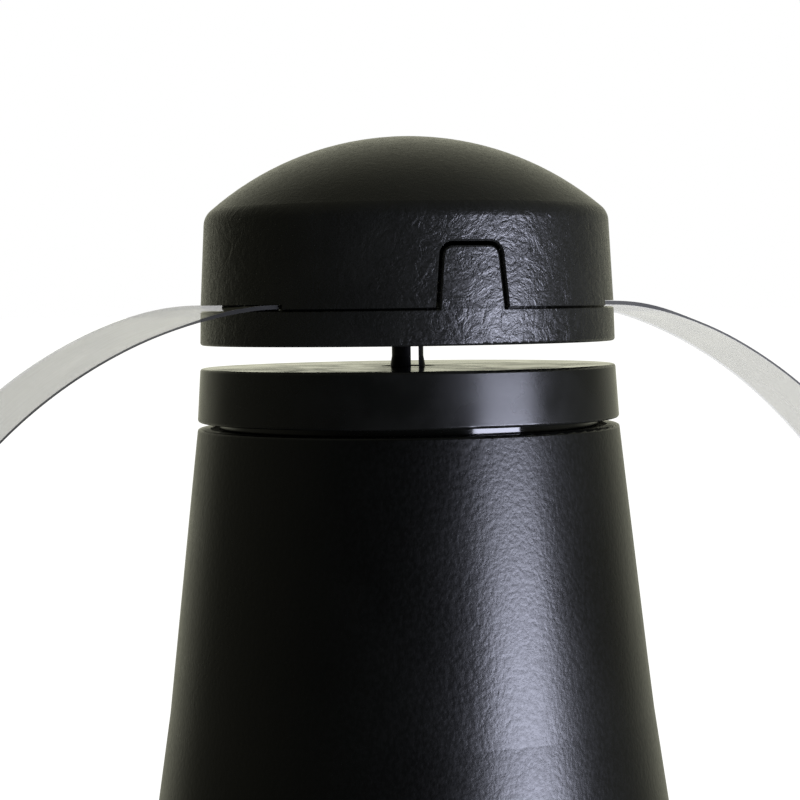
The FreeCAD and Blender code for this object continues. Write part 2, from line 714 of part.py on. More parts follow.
def drive_post(d):
    """Split post on the motor shaft: a solid side, a slot and a thin springy finger."""
    sleeve_bottom = d["motor_face_level"] + d["motor_nose_height"] + d["post_sleeve_gap"]
    shoulder = d["collar_top_level"] - d["post_shoulder_drop"]
    post_end = d["seam_level"] + d["post_top"]
    body = new_body("post_blank")
    revolve(body, "post_profile", [
        (d["shaft_radius"], sleeve_bottom),
        (d["post_sleeve_radius"], sleeve_bottom),
        (d["post_sleeve_radius"], shoulder - d["post_shoulder_round"]),
        (d["post_radius"] + d["post_flare"], shoulder),
        (d["post_radius"], shoulder + d["post_flare_height"]),
        (d["post_radius"], post_end - d["post_end_chamfer"]),
        (d["post_radius"] - d["post_end_chamfer"], post_end),
        (0.0, post_end),
        (0.0, d["shaft_top_level"]),
        (d["shaft_radius"], d["shaft_top_level"]),
    ])
    slot_start = d["post_solid_width"] - d["post_radius"]
    side_pocket(body, "post_slot", "XZ_Plane", [rectangle(
        slot_start, slot_start + d["post_slot_width"], shoulder + d["post_slot_floor"], post_end + OVERLAP)])
    keep("drive_post", turned("drive_post", body, POST_TURN))


def film_root(d, name, angle):
    """Flat end of a blade, clamped between cap and disc over two pins."""
    half = d["film_width"] / 2
    bottom = d["seam_level"] + d["film_level"] - d["film_thickness"] / 2
    strip = new_body(name + "_strip")
    pad(strip, name + "_sheet", bottom, bottom + d["film_thickness"],
        [rectangle(d["film_root_start"], d["film_root_end"], -half, half)],
        [(d["pin_radial"], d["pin_spread"] * side, d["pin_radius"] + d["hole_clearance"])
         for side in (-1, 1)])
    keep(name, turned(name, strip, angle))


def film_span(d, name, angle):
    """Free blade: a strip that droops in tangent arcs, with rounded tip corners."""
    half_sheet = d["film_thickness"].value / 2
    width = d["film_width"].value

    def outward(slope):
        return FreeCAD.Vector(math.sin(math.radians(slope)), 0, math.cos(math.radians(slope)))

    point = FreeCAD.Vector(
        d["film_free_start"].value, 0, (d["seam_level"] + d["film_free_rise"]).value)
    slope = BLADE_START_SLOPE
    upper = []
    lower = []
    start = point
    for length, turn in BLADE_BENDS:
        radius = length / math.radians(turn)
        centre = point - outward(slope) * radius
        directions = [outward(slope + turn * share) for share in (0.0, 0.5, 1.0)]
        upper.append(Part.Arc(*[centre + way * (radius + half_sheet) for way in directions]).toShape())
        lower.append(Part.Arc(*[centre + way * (radius - half_sheet) for way in directions]).toShape())
        slope += turn
        point = centre + outward(slope) * radius
    root_edge = Part.LineSegment(
        start - outward(BLADE_START_SLOPE) * half_sheet, start + outward(BLADE_START_SLOPE) * half_sheet)
    tip_edge = Part.LineSegment(point + outward(slope) * half_sheet, point - outward(slope) * half_sheet)
    outline = Part.Wire(Part.__sortEdges__([root_edge.toShape(), *upper, tip_edge.toShape(), *lower]))
    section = Part.Face(outline)
    section.translate(FreeCAD.Vector(0, -width / 2, 0))
    solid = section.extrude(FreeCAD.Vector(0, width, 0))
    tip_corners = [edge for edge in solid.Edges
                   if edge.Length < 2 * d["film_thickness"].value
                   and edge.CenterOfMass.distanceToPoint(FreeCAD.Vector(point.x, 0, point.z)) < width]
    solid = solid.makeFillet(d["film_tip_round"].value, tip_corners)
    span = doc.addObject("Part::Feature", name)
    span.Shape = solid
    span.Placement = FreeCAD.Placement(
        FreeCAD.Vector(), FreeCAD.Rotation(FreeCAD.Vector(0, 0, 1), angle))
    keep(name, span)


# ---------------------------------------------------------------- screws

def screw(name, x, y, head_level, length, size, upwards=True):
    """Pan-head screw whose head's seat is at head_level; its shank runs up or down from there."""
    shank_radius, head_radius, head_height = size
    if upwards:
        shank = cylinder(name + "_shank", shank_radius, length, x, y, head_level)
        head_low = head_level - head_height
        recess_low = head_low
    else:
        shank = cylinder(name + "_shank", shank_radius, length, x, y, head_level - length)
        head_low = head_level
        recess_low = head_level + head_height / 2
    head = cylinder(name + "_head", head_radius, head_height, x, y, head_low)
    solid = fuse(name + "_blank", shank, head)
    arm = head_radius * RECESS_REACH
    half = shank_radius * RECESS_WIDTH
    recess_top = recess_low + head_height / 2
    recess = fuse(
        name + "_cross",
        box(name + "_slot_1", x - arm, x + arm, y - half, y + half, recess_low, recess_top),
        box(name + "_slot_2", x - half, x + half, y - arm, y + arm, recess_low, recess_top))
    return cut(name + "_single", solid, recess)


def screw_ring(d, name, angles, circle, head_level, length, size):
    singles = []
    for number, angle in enumerate(angles, start=1):
        x, y = polar(circle, angle)
        singles.append(screw(f"{name}_{number}", x, y, head_level, length, size))
    keep(name, group(name, singles))


# ---------------------------------------------------------------- collar and stand

def collar(d):
    """Glossy ring on top of the stand; it carries the motor and plugs into the body."""
    body = new_body("collar")
    under = d["collar_top_level"] - d["collar_plate"]
    inner = d["neck_radius"] - d["neck_wall"]
    blank = revolve(body, "collar_ring", [
        (d["collar_hole_radius"], d["motor_face_level"]),
        (d["deck_radius"], d["motor_face_level"]),
        (d["deck_radius"], under),
        (inner, under),
        (inner, d["shelf_level"]),
        (d["neck_radius"], d["shelf_level"]),
        (d["neck_radius"], d["body_top_level"] - d["groove_depth"]),
        (d["groove_radius"], d["body_top_level"] - d["groove_depth"]),
        (d["groove_radius"], d["collar_foot_level"]),
        (d["collar_foot_radius"], d["collar_foot_level"]),
        (d["collar_top_radius"], d["collar_top_level"]),
        (d["collar_hole_radius"], d["collar_top_level"]),
    ])
    upper = dress(body, "Fillet", "collar_top_edge", blank, d["collar_edge_round"],
                  round_edge_at(d["collar_top_radius"], d["collar_top_level"]))
    dress(body, "Fillet", "collar_foot_edge", upper, d["collar_edge_round"],
          round_edge_at(d["collar_foot_radius"], d["collar_foot_level"]))
    motor_back = d["motor_face_level"] - d["motor_length"]
    pad(body, "retainer_bosses", motor_back, under + OVERLAP, circles=[
        (*polar(d["retainer_screw_circle"], angle), d["retainer_boss_radius"])
        for angle in RETAINER_ANGLES])
    pad(body, "collar_bosses", d["shelf_level"], under + OVERLAP, circles=[
        (*polar(d["collar_screw_circle"], angle), d["collar_boss_radius"])
        for angle in COLLAR_ANGLES])
    hole_depth = d["small_screw_length"]
    pocket(body, "retainer_pilots", motor_back - OVERLAP, motor_back + hole_depth, circles=[
        (*polar(d["retainer_screw_circle"], angle), d["small_screw_radius"])
        for angle in RETAINER_ANGLES])
    pocket(body, "collar_pilots", d["shelf_level"] - OVERLAP, d["shelf_level"] + hole_depth, circles=[
        (*polar(d["collar_screw_circle"], angle), d["small_screw_radius"])
        for angle in COLLAR_ANGLES])
    keep("collar", body)


def body_shell(d):
    """Hollow stand: two tapers, a straight base band, a shelf for the collar and screw bosses."""
    body = new_body("body_shell")
    wall = d["body_wall"]
    shelf_under = d["shelf_level"] - d["shelf_thickness"]
    taper = (d["body_kink_radius"] - d["body_top_radius"]) / (d["body_top_level"] - d["body_kink_level"])
    shelf_inner = d["body_top_radius"] + taper * (d["body_top_level"] - shelf_under) - wall
    bore = d["neck_radius"] + d["neck_clearance"]
    blank = revolve(body, "shell_wall", [
        (bore, d["shelf_level"]),
        (d["shelf_radius"], d["shelf_level"]),
        (d["shelf_radius"], shelf_under),
        (shelf_inner, shelf_under),
        (d["body_kink_radius"] - wall, d["body_kink_level"]),
        (d["body_base_radius"] - wall, d["body_base_level"]),
        (d["body_base_radius"] - wall, d["body_floor_level"]),
        (d["body_base_radius"], d["body_floor_level"]),
        (d["body_base_radius"], d["body_base_level"]),
        (d["body_kink_radius"], d["body_kink_level"]),
        (d["body_top_radius"], d["body_top_level"]),
        (bore, d["body_top_level"]),
    ])
    lip = dress(body, "Fillet", "shell_lip", blank, d["body_lip_round"],
                round_edge_at(d["body_top_radius"], d["body_top_level"]))
    blend = dress(body, "Fillet", "shell_base_blend", lip, d["body_base_round"],
                  round_edge_at(d["body_base_radius"], d["body_base_level"]))
    dress(body, "Chamfer", "shell_foot_edge", blend, d["body_foot_chamfer"],
          round_edge_at(d["body_base_radius"], d["body_floor_level"]))
    deck = d["body_floor_level"] + d["base_plate_thickness"]
    pad(body, "shell_bosses", deck, d["base_boss_top"], circles=[
        (*polar(d["base_screw_circle"], angle), d["base_boss_radius"]) for angle in SCREW_ANGLES])
    rib = pad(body, "shell_rib", deck + OVERLAP * 2, d["base_boss_top"], [rectangle(
        d["base_screw_circle"] + d["base_boss_radius"] - OVERLAP, d["body_base_radius"] - wall + OVERLAP,
        -d["rib_width"], d["rib_width"])])
    repeat_round(body, "shell_ribs", [rib], len(SCREW_ANGLES))
    pocket(body, "shell_pilots", deck - OVERLAP, d["base_boss_top"] - d["base_boss_skin"], circles=[
        (*polar(d["base_screw_circle"], angle), d["base_screw_radius"]) for angle in SCREW_ANGLES])
    pocket(body, "shelf_holes", shelf_under - OVERLAP, d["shelf_level"] + OVERLAP, circles=[
        (*polar(d["collar_screw_circle"], angle), d["small_screw_radius"] + d["hole_clearance"])
        for angle in COLLAR_ANGLES])
    keep("body_shell", body)


def base_plate(d):
    """Closing plate with the battery bay, foot recesses, screw holes and switch opening."""
    body = new_body("base_plate")
    floor = d["body_floor_level"]
    deck = floor + d["base_plate_thickness"]
    half_length = d["bay_length"] / 2
    half_width = d["bay_width"] / 2
    wall = d["bay_wall"]
    pad(body, "plate", floor, deck, circles=[(0.0, 0.0, d["base_plate_radius"])])
    pad(body, "bay_block", deck - OVERLAP, d["bay_ceiling_level"] + wall, [rectangle(
        -half_length - wall, half_length + wall, -half_width - wall, half_width + wall)])
    pocket(body, "bay", floor - OVERLAP, d["bay_ceiling_level"], [rectangle(
        -half_length, half_length, -half_width, half_width)])
    pocket(body, "foot_recesses", floor - OVERLAP, d["foot_height"], circles=[
        (*polar(d["foot_circle"], angle), d["foot_radius"] + d["foot_play"]) for angle in FOOT_ANGLES])
    seat = floor + d["base_screw_head_height"] + d["base_screw_sink"]
    pocket(body, "screw_recesses", floor - OVERLAP, seat, circles=[
        (*polar(d["base_screw_circle"], angle), d["base_screw_head_radius"] + d["base_head_clearance"])
        for angle in SCREW_ANGLES])
    pocket(body, "screw_holes", floor - OVERLAP, deck + OVERLAP, circles=[
        (*polar(d["base_screw_circle"], angle), d["base_screw_radius"] + d["neck_clearance"])
        for angle in SCREW_ANGLES])
    half_slot = (d["switch_travel"] + d["knob_length"]) / 2 + d["switch_play"]
    half_knob = d["knob_width"] / 2 + d["switch_play"]
    half_recess = d["finger_recess_width"] / 2
    pocket(body, "switch_finger_recess", floor - OVERLAP, floor + d["finger_recess_depth"], [rectangle(
        -d["finger_recess_length"] / 2, d["finger_recess_length"] / 2,
        d["switch_y"] - half_recess, d["switch_y"] + half_recess)])
    pocket(body, "switch_slot", floor - OVERLAP, deck + OVERLAP, [rectangle(
        -half_slot, half_slot, d["switch_y"] - half_knob, d["switch_y"] + half_knob)])
    pocket(body, "switch_pilots", deck - d["switch_pilot_depth"], deck + OVERLAP, circles=[
        (d["switch_screw_spread"] * side, d["switch_y"], d["switch_screw_radius"]) for side in (-1, 1)])
    tab_x = half_length - d["contact_gap"] + d["contact_sheet"] / 2
    half_tab = d["contact_sheet"] / 2 + d["neck_clearance"]
    half_tab_width = d["contact_tab_width"] / 2 + d["base_head_clearance"]
    ceiling = d["bay_ceiling_level"]
    for name, x_side, y in (("positive", 1, -d["cell_spread"]), ("negative", 1, d["cell_spread"])):
        pocket(body, f"{name}_tab_slot", ceiling - OVERLAP, ceiling + wall + OVERLAP, [rectangle(
            tab_x * x_side - half_tab, tab_x * x_side + half_tab, y - half_tab_width, y + half_tab_width)])
    hinge_x, hinge_z = door_axis(d)
    pin_span = d["bay_width"] + (d["door_pin_reach"] + d["door_pin_end_play"]) * 2
    side_pocket(body, "door_pin_holes", "XZ_Plane",
                circles=[(hinge_x, hinge_z, d["door_pin_radius"] + d["door_pin_play"])], length=pin_span)
    keep("base_plate", body)


def door_axis(d):
    """Hinge line of the battery door: its X, and its height above the table."""
    half_door = d["door_thickness"] / 2
    return -(d["bay_length"] / 2) + d["door_gap"] + half_door, d["body_floor_level"] + half_door


def battery_door(d):
    """Door of the battery bay with a rounded hinge edge, a hinge pin and grip ridges."""
    hinge_x, hinge_z = door_axis(d)
    floor = d["body_floor_level"]
    half_door = d["door_thickness"] / 2
    half_width = d["bay_width"] / 2 - d["door_gap"]
    far_end = d["bay_length"] / 2 - d["door_gap"]
    plate = box("door_plate", hinge_x, far_end, -half_width, half_width, floor, floor + d["door_thickness"])
    edge = cylinder("door_edge", half_door, half_width * 2, hinge_x, -half_width, hinge_z, "Y")
    pin_half = d["bay_width"] / 2 + d["door_pin_reach"]
    pin = cylinder("door_pin", d["door_pin_radius"], pin_half * 2, hinge_x, -pin_half, hinge_z, "Y")
    half_ridge = d["door_ridge_length"] / 2
    ridges = []
    for number in range(DOOR_RIDGES):
        start = far_end - d["door_ridge_inset"] - d["door_ridge_pitch"] * number
        ridges.append(box(f"door_ridge_{number}", start, start + d["door_ridge_width"],
                          -half_ridge, half_ridge, floor - d["door_ridge"], floor + OVERLAP))
    keep("battery_door", fuse("battery_door", plate, edge, pin, *ridges))


def feet(d):
    names = ("foot_rear_right", "foot_rear_left", "foot_front_left", "foot_front_right")
    for name, angle in zip(names, FOOT_ANGLES):
        x, y = polar(d["foot_circle"], angle)
        blank = cylinder(name + "_blank", d["foot_radius"], d["foot_height"], x, y, 0.0)
        edge = doc.addObject("Part::Chamfer", name)
        edge.Base = blank
        doc.recompute()
        low = [i for i, curve in enumerate(blank.Shape.Edges, start=1)
               if isinstance(curve.Curve, Part.Circle) and abs(curve.CenterOfMass.z) < 0.01]
        edge.Edges = [(low[0], d["foot_chamfer"].value, d["foot_chamfer"].value)]
        keep(name, edge)


# ---------------------------------------------------------------- motor

def motor_stator(d):
    """Can with its nose, plastic end bell, magnets, bushes, brushes and terminals."""
    face = d["motor_face_level"]
    back = face - d["motor_length"]
    skin = d["motor_skin"]
    inner = d["motor_radius"] - skin
    can = new_body("motor_can")
    revolve(can, "can_wall", [
        (d["bush_radius"], face - skin),
        (inner, face - skin),
        (inner, back),
        (d["motor_radius"], back),
        (d["motor_radius"], face),
        (d["motor_nose_radius"], face),
        (d["motor_nose_radius"], face + d["motor_nose_height"]),
        (d["bush_radius"], face + d["motor_nose_height"]),
    ])
    keep("motor_can", can)

    bell = new_body("motor_end_bell")
    bell_top = back + d["end_bell_thickness"]
    revolve(bell, "bell_plate", [
        (d["bush_radius"], back),
        (inner, back),
        (inner, bell_top),
        (d["bush_radius"], bell_top),
    ])
    half_slot = d["terminal_sheet"] / 2 + d["terminal_slot_play"] / 2
    half_opening = d["terminal_width"] / 2 + d["terminal_slot_play"] * 2
    pocket(bell, "bell_terminal_slots", back - OVERLAP, bell_top + OVERLAP, [rectangle(
        d["terminal_offset"] * side - half_slot, d["terminal_offset"] * side + half_slot,
        -half_opening, half_opening) for side in (-1, 1)])
    keep("motor_end_bell", bell)

    bore = d["shaft_radius"] + d["running_gap"]
    bush_levels = (("motor_front_bush", face + d["motor_nose_height"] - d["bush_length"]),
                   ("motor_rear_bush", back))
    for name, level in bush_levels:
        outer = cylinder(name + "_outer", d["bush_radius"], d["bush_length"], 0.0, 0.0, level)
        hole = cylinder(name + "_hole", bore, d["bush_length"] + OVERLAP * 2, 0.0, 0.0, level - OVERLAP)
        keep(name, cut(name, outer, hole))

    magnet_low = face - skin - d["magnet_set_back"] - d["magnet_length"]
    magnet_inner = inner - d["magnet_thickness"]
    for number, side in ((1, 1), (2, -1)):
        name = f"motor_magnet_{number}"
        outer = cylinder(name + "_outer", inner, d["magnet_length"], 0.0, 0.0, magnet_low)
        hole = cylinder(name + "_hole", magnet_inner, d["magnet_length"] + OVERLAP * 2, 0.0, 0.0,
                        magnet_low - OVERLAP)
        reach = d["magnet_reach"].value
        ends = sorted((d["magnet_gap"].value * side, reach * side))
        half = box(name + "_half", -reach, reach, *ends, magnet_low, magnet_low + d["magnet_length"])
        keep(name, common(name, cut(name + "_tube", outer, hole), half))

    brush_low = bell_top + d["core_clearance"]
    brush_top = brush_low + d["brush_height"]
    contact = d["commutator_radius"] + d["brush_gap"]
    leaf_outer = contact + d["brush_block_depth"] + d["brush_leaf_sheet"] - d["brush_weld"]
    leaf_inner = leaf_outer - d["brush_leaf_sheet"]
    block_outer = contact + d["brush_block_depth"]
    block_half = d["brush_block_width"]
    leaf_end = d["brush_leaf_end"]
    for number, side in ((1, 1), (2, -1)):
        name = f"motor_brush_{number}"
        leaf_x = sorted((leaf_inner.value * side, leaf_outer.value * side))
        block_x = sorted((contact.value * side, block_outer.value * side))
        foot_x = sorted((leaf_inner.value * side, d["terminal_offset"].value * side))
        leaf = box(name + "_leaf", *leaf_x, -d["brush_leaf_start"], leaf_end, brush_low, brush_top)
        block = box(name + "_block", *block_x, -block_half, block_half,
                    brush_low + d["brush_gap"], brush_top - d["brush_gap"])
        foot = box(name + "_foot", *foot_x, leaf_end - d["brush_leaf_sheet"], leaf_end,
                   brush_low, brush_top)
        keep(name, fuse(name, leaf, block, foot))

        name = f"motor_terminal_{number}"
        middle = d["terminal_offset"] * side
        half_sheet = d["terminal_sheet"] / 2
        half_width = d["terminal_width"] / 2
        blade = box(name + "_blade", middle - half_sheet, middle + half_sheet, -half_width, half_width,
                    back - d["terminal_drop"], bell_top + d["terminal_rise"])
        keep(name, blade)


def motor_rotor(d):
    """Shaft with the three-pole core, its windings and the commutator."""
    back = d["motor_face_level"] - d["motor_length"]
    shaft_low = back + d["neck_clearance"]
    keep("motor_shaft", cylinder(
        "motor_shaft", d["shaft_radius"], d["shaft_top_level"] - shaft_low, 0.0, 0.0, shaft_low))

    core_low = back + d["core_set_back"]
    core_top = core_low + d["core_length"]
    shoe_inner = d["core_radius"] - d["core_shoe"]
    core = new_body("motor_core")
    pad(core, "core_hub", core_low, core_top,
        circles=[(0.0, 0.0, d["core_hub_radius"]), (0.0, 0.0, d["shaft_radius"])])
    neck = pad(core, "core_neck", core_low, core_top, [rectangle(
        d["core_hub_radius"] - OVERLAP, d["core_radius"] - OVERLAP,
        -d["core_neck_width"] / 2, d["core_neck_width"] / 2)])
    outer_x, outer_y = polar(d["core_radius"], SHOE_HALF_ANGLE)
    inner_x, inner_y = polar(shoe_inner, SHOE_HALF_ANGLE)
    shoe = pad(core, "core_shoe", core_low, core_top, [[
        (inner_x, -inner_y),
        (outer_x, -outer_y, d["core_radius"]),
        (outer_x, outer_y),
        (inner_x, inner_y, -shoe_inner),
    ]])
    repeat_round(core, "core_poles", [neck, shoe], len(POLE_ANGLES))
    keep("motor_core", core)

    reach = d["core_neck_width"] / 2 + d["core_gap"]
    build = d["coil_build"]
    for number, angle in enumerate(POLE_ANGLES, start=1):
        name = f"motor_winding_{number}"
        start = d["core_hub_radius"] + d["winding_start"]
        end = shoe_inner - d["winding_end"]
        outer = box(name + "_outer", start, end, -reach - build, reach + build,
                    core_low - build, core_top + build)
        hole = box(name + "_hole", start - OVERLAP, end + OVERLAP, -reach, reach, core_low, core_top)
        keep(name, turned(name, cut(name + "_coil", outer, hole), angle))

    bar_low = back + d["end_bell_thickness"] + d["neck_clearance"]
    bar = cylinder("commutator_bar", d["commutator_radius"], d["commutator_length"], 0.0, 0.0, bar_low)
    bore = cylinder("commutator_bore", d["shaft_radius"], d["commutator_length"] + OVERLAP * 2, 0.0, 0.0,
                    bar_low - OVERLAP)
    keep("motor_commutator", cut("motor_commutator", bar, bore))


def motor_retainer(d):
    """Plate that presses the motor up against the collar's deck."""
    body = new_body("motor_retainer")
    top = d["motor_face_level"] - d["motor_length"]
    bottom = top - d["retainer_thickness"]
    pad(body, "retainer_plate", bottom, top,
        circles=[(0.0, 0.0, d["retainer_radius"]), (0.0, 0.0, d["retainer_opening"])])
    pocket(body, "retainer_holes", bottom - OVERLAP, top + OVERLAP, circles=[
        (*polar(d["retainer_screw_circle"], angle), d["small_screw_radius"] + d["hole_clearance"])
        for angle in RETAINER_ANGLES])
    keep("motor_retainer", body)
    return bottom


# ---------------------------------------------------------------- power

def batteries(d):
    """Two cells lying side by side, head to tail, with springs and contacts."""
    plate_face = d["bay_length"] / 2 - d["contact_gap"]
    nub_end = plate_face - d["core_gap"]
    sheet = d["contact_sheet"]
    can_far = nub_end - d["cell_nub_height"]
    for number, side in ((1, 1), (2, -1)):
        name = f"battery_cell_{number}"
        axis = "X" if side > 0 else "-X"
        y = d["cell_spread"] * -side
        can = cylinder(name + "_can", d["cell_radius"], d["cell_length"],
                       (can_far - d["cell_length"]) * side, y, d["cell_level"], axis)
        nub = cylinder(name + "_nub", d["cell_nub_radius"], d["cell_nub_height"] + OVERLAP,
                       (can_far - OVERLAP) * side, y, d["cell_level"], axis)
        keep(name, fuse(name, can, nub))

        name = f"battery_spring_{number}"
        wire = d["spring_wire"]
        spring_end = d["cell_length"] - can_far + wire
        pitch = (plate_face - spring_end - wire) / (SPRING_COILS - 1)
        coils = []
        for coil in range(SPRING_COILS):
            x = (spring_end + pitch * coil) * -side
            radius = d["spring_radius"] - d["spring_taper"] * (SPRING_COILS - 1 - coil)
            coils.append(ring(f"{name}_coil_{coil}", x, y, d["cell_level"], radius, wire))
        keep(name, fuse(name, *coils))

    low = d["cell_level"] - d["contact_half_height"]
    high = d["cell_level"] + d["contact_half_height"]
    half = d["contact_width"] / 2
    half_tab_width = d["contact_tab_width"] / 2
    for name, y in (("contact_positive", -d["cell_spread"]), ("contact_negative", d["cell_spread"])):
        pane = box(name + "_pane", plate_face, plate_face + sheet, y - half, y + half, low, high)
        tab = box(name + "_tab", plate_face, plate_face + sheet, y - half_tab_width, y + half_tab_width,
                  high - OVERLAP, d["contact_tab_top"])
        keep(name, fuse(name, pane, tab))
    reach = d["cell_spread"] + half
    keep("contact_link", box("contact_link", -plate_face - sheet, -plate_face, -reach, reach, low, high))


def slide_switch(d):
    """Slide switch over the base plate: frame, case, knob, terminals and two screws."""
    deck = d["body_floor_level"] + d["base_plate_thickness"]
    frame_top = deck + d["switch_frame_sheet"]
    case_top = frame_top + d["switch_height"]
    y = d["switch_y"]
    half_travel = d["switch_travel"] / 2
    half_knob_x = d["knob_length"] / 2
    half_knob_y = d["knob_width"] / 2
    window = (half_travel + half_knob_x + d["switch_window_play"], half_knob_y + d["switch_window_play"])

    half = d["switch_frame_length"] / 2
    half_width = d["switch_width"] / 2
    frame = new_body("switch_frame")
    pad(frame, "frame_sheet", deck, frame_top, [
        rectangle(-half, half, y - half_width, y + half_width),
        rectangle(-window[0], window[0], y - window[1], y + window[1]),
    ], [(d["switch_screw_spread"] * side, y, d["switch_screw_radius"] + d["hole_clearance"])
        for side in (-1, 1)])
    keep("switch_frame", frame)

    half_case = d["switch_length"] / 2
    case = new_body("switch_case")
    pad(case, "case_block", frame_top, case_top, [rectangle(
        -half_case, half_case, y - half_width, y + half_width)])
    pocket(case, "case_chamber", frame_top - OVERLAP, frame_top + d["switch_chamber"], [rectangle(
        -window[0], window[0], y - window[1], y + window[1])])
    keep("switch_case", case)

    start = -half_travel
    stem = box("knob_stem", start - half_knob_x, start + half_knob_x, y - half_knob_y, y + half_knob_y,
               d["knob_bottom_level"], frame_top + d["knob_stem_height"])
    keep("switch_knob", stem)

    pin_top = case_top + d["switch_pin_length"]
    half_pin = d["switch_pin_width"] / 2
    half_sheet = d["terminal_sheet"] / 2
    pins = []
    for number, place in ((1, -1), (2, 0), (3, 1)):
        x = d["switch_pin_pitch"] * place
        pins.append(box(f"switch_pin_{number}", x - half_pin, x + half_pin,
                        y - half_sheet, y + half_sheet, case_top, pin_top))
    keep("switch_terminals", group("switch_terminals", pins))

    size = (d["switch_screw_radius"], d["switch_screw_head_radius"], d["switch_screw_head_height"])
    screws = [screw(f"switch_screw_{number}", d["switch_screw_spread"] * side, y, frame_top,
                    d["switch_screw_length"], size, upwards=False)
              for number, side in ((1, -1), (2, 1))]
    keep("switch_screws", group("switch_screws", screws))
    return pin_top


# ---------------------------------------------------------------- leads

def rounded_path(points):
    """Straight runs joined by tangent arcs, each as large as its two runs allow."""
    points = [FreeCAD.Vector(*point) for point in points]
    edges = []
    radii = []
    start = points[0]
    for before, corner, after in zip(points, points[1:], points[2:]):
        arriving = (corner - before).normalize()
        leaving = (after - corner).normalize()
        half_turn = arriving.getAngle(leaving) / 2
        shorter = min(corner.distanceToPoint(before), corner.distanceToPoint(after))
        tangent = TANGENT_SHARE * shorter
        radius = tangent / math.tan(half_turn)
        entry = corner - arriving * tangent
        leave = corner + leaving * tangent
        towards_centre = (leaving - arriving).normalize()
        bow = radius / math.cos(half_turn) - radius
        edges.append(Part.LineSegment(start, entry).toShape())
        edges.append(Part.Arc(entry, corner + towards_centre * bow, leave).toShape())
        radii.append(radius)
        start = leave
    edges.append(Part.LineSegment(start, points[-1]).toShape())
    return Part.Wire(edges), radii


def lead(d, name, points):
    """Insulated lead swept along a rounded path."""
    path, radii = rounded_path(points)
    radius = d["lead_radius"].value
    first = FreeCAD.Vector(*points[0])
    heading = (FreeCAD.Vector(*points[1]) - first).normalize()
    section = Part.Wire([Part.makeCircle(radius, first, heading)])
    solid = path.makePipeShell([section], True, False)
    expected = math.pi * radius ** 2 * path.Length
    if abs(solid.Volume - expected) > VOLUME_ERROR * expected:
        raise RuntimeError(f"{name} has the wrong volume")
    thing = doc.addObject("Part::Feature", name)
    thing.Shape = solid
    keep(name, thing)
    print(name, "length", round(path.Length, 1), "smallest bend", round(min(radii), 1))


def leads(d, switch_pin_top):
    """Contact to switch, switch to motor, and motor back to the other contact."""
    tab_x = (d["bay_length"] / 2 - d["contact_gap"] + d["contact_sheet"] / 2).value
    spread = d["cell_spread"].value
    tab_top = d["contact_tab_top"].value
    pin_top = dim(switch_pin_top).value
    switch_y = d["switch_y"].value
    side = d["terminal_offset"].value
    motor_end = (d["motor_face_level"] - d["motor_length"] - d["terminal_drop"]).value
    lead(d, "lead_battery_to_switch", [
        (tab_x, -spread, tab_top + LEAD_GAP),
        (tab_x + 0.6, -spread - 1.0, tab_top + 9.0),
        (25.0, -19.0, 41.0),
        (11.0, -30.0, 37.0),
        (2.7, switch_y - 0.4, 24.0),
        (2.5, switch_y, pin_top + LEAD_GAP),
    ])
    lead(d, "lead_switch_to_motor", [
        (0.0, switch_y, pin_top + LEAD_GAP),
        (-0.6, switch_y - 0.3, 33.0),
        (-4.0, -31.0, 62.0),
        (2.0, -25.5, 98.0),
        (7.5, -17.0, 130.0),
        (9.6, -4.0, 153.0),
        (side, 0.0, motor_end - LEAD_GAP),
    ])
    lead(d, "lead_motor_to_battery", [
        (tab_x, spread, tab_top + LEAD_GAP),
        (tab_x + 0.5, spread + 0.5, 44.0),
        (27.0, 13.0, 78.0),
        (18.0, 15.5, 112.0),
        (2.0, 12.0, 138.0),
        (-8.8, 2.5, 156.0),
        (-side, 0.0, motor_end - LEAD_GAP),
    ])


# ---------------------------------------------------------------- build and write

def build():
    d = fill_sheet()
    rotor_cap(d)
    rotor_base(d)
    drive_post(d)
    for name, angle in (("blade_right", 0.0), ("blade_left", 180.0)):
        film_root(d, name + "_root", angle)
        film_span(d, name, angle)
    collar(d)
    body_shell(d)
    base_plate(d)
    battery_door(d)
    feet(d)
    motor_stator(d)
    motor_rotor(d)
    retainer_bottom = motor_retainer(d)
    small = (d["small_screw_radius"], d["small_screw_head_radius"], d["small_screw_head_height"])
    screw_ring(d, "retainer_screws", RETAINER_ANGLES, d["retainer_screw_circle"], retainer_bottom,
               d["small_screw_length"], small)
    screw_ring(d, "collar_screws", COLLAR_ANGLES, d["collar_screw_circle"],
               d["shelf_level"] - d["shelf_thickness"], d["small_screw_length"], small)
    large = (d["base_screw_radius"], d["base_screw_head_radius"], d["base_screw_head_height"])
    screw_ring(d, "base_screws", SCREW_ANGLES, d["base_screw_circle"],
               d["body_floor_level"] + d["base_screw_head_height"] + d["base_screw_sink"],
               d["base_screw_length"], large)
    batteries(d)
    switch_pin_top = slide_switch(d)
    leads(d, switch_pin_top)
    doc.recompute()


def check_and_write():
    for thing in doc.Objects:
        if {"Invalid", "Error"} & set(thing.State):
            raise RuntimeError(f"{thing.Label} failed: {thing.State}")
    os.makedirs("parts", exist_ok=True)
    for name, thing in sorted(nodes.items()):
        shape = thing.Shape
        if shape.isNull() or not shape.isValid() or not shape.Solids:
            raise RuntimeError(f"{name} has no valid solid")
        shape.exportStep(f"parts/{name}.step")
    print(len(nodes), "parts written")


build()
check_and_write()
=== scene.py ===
import json
import math

import bpy
from mathutils import Matrix, Vector, noise


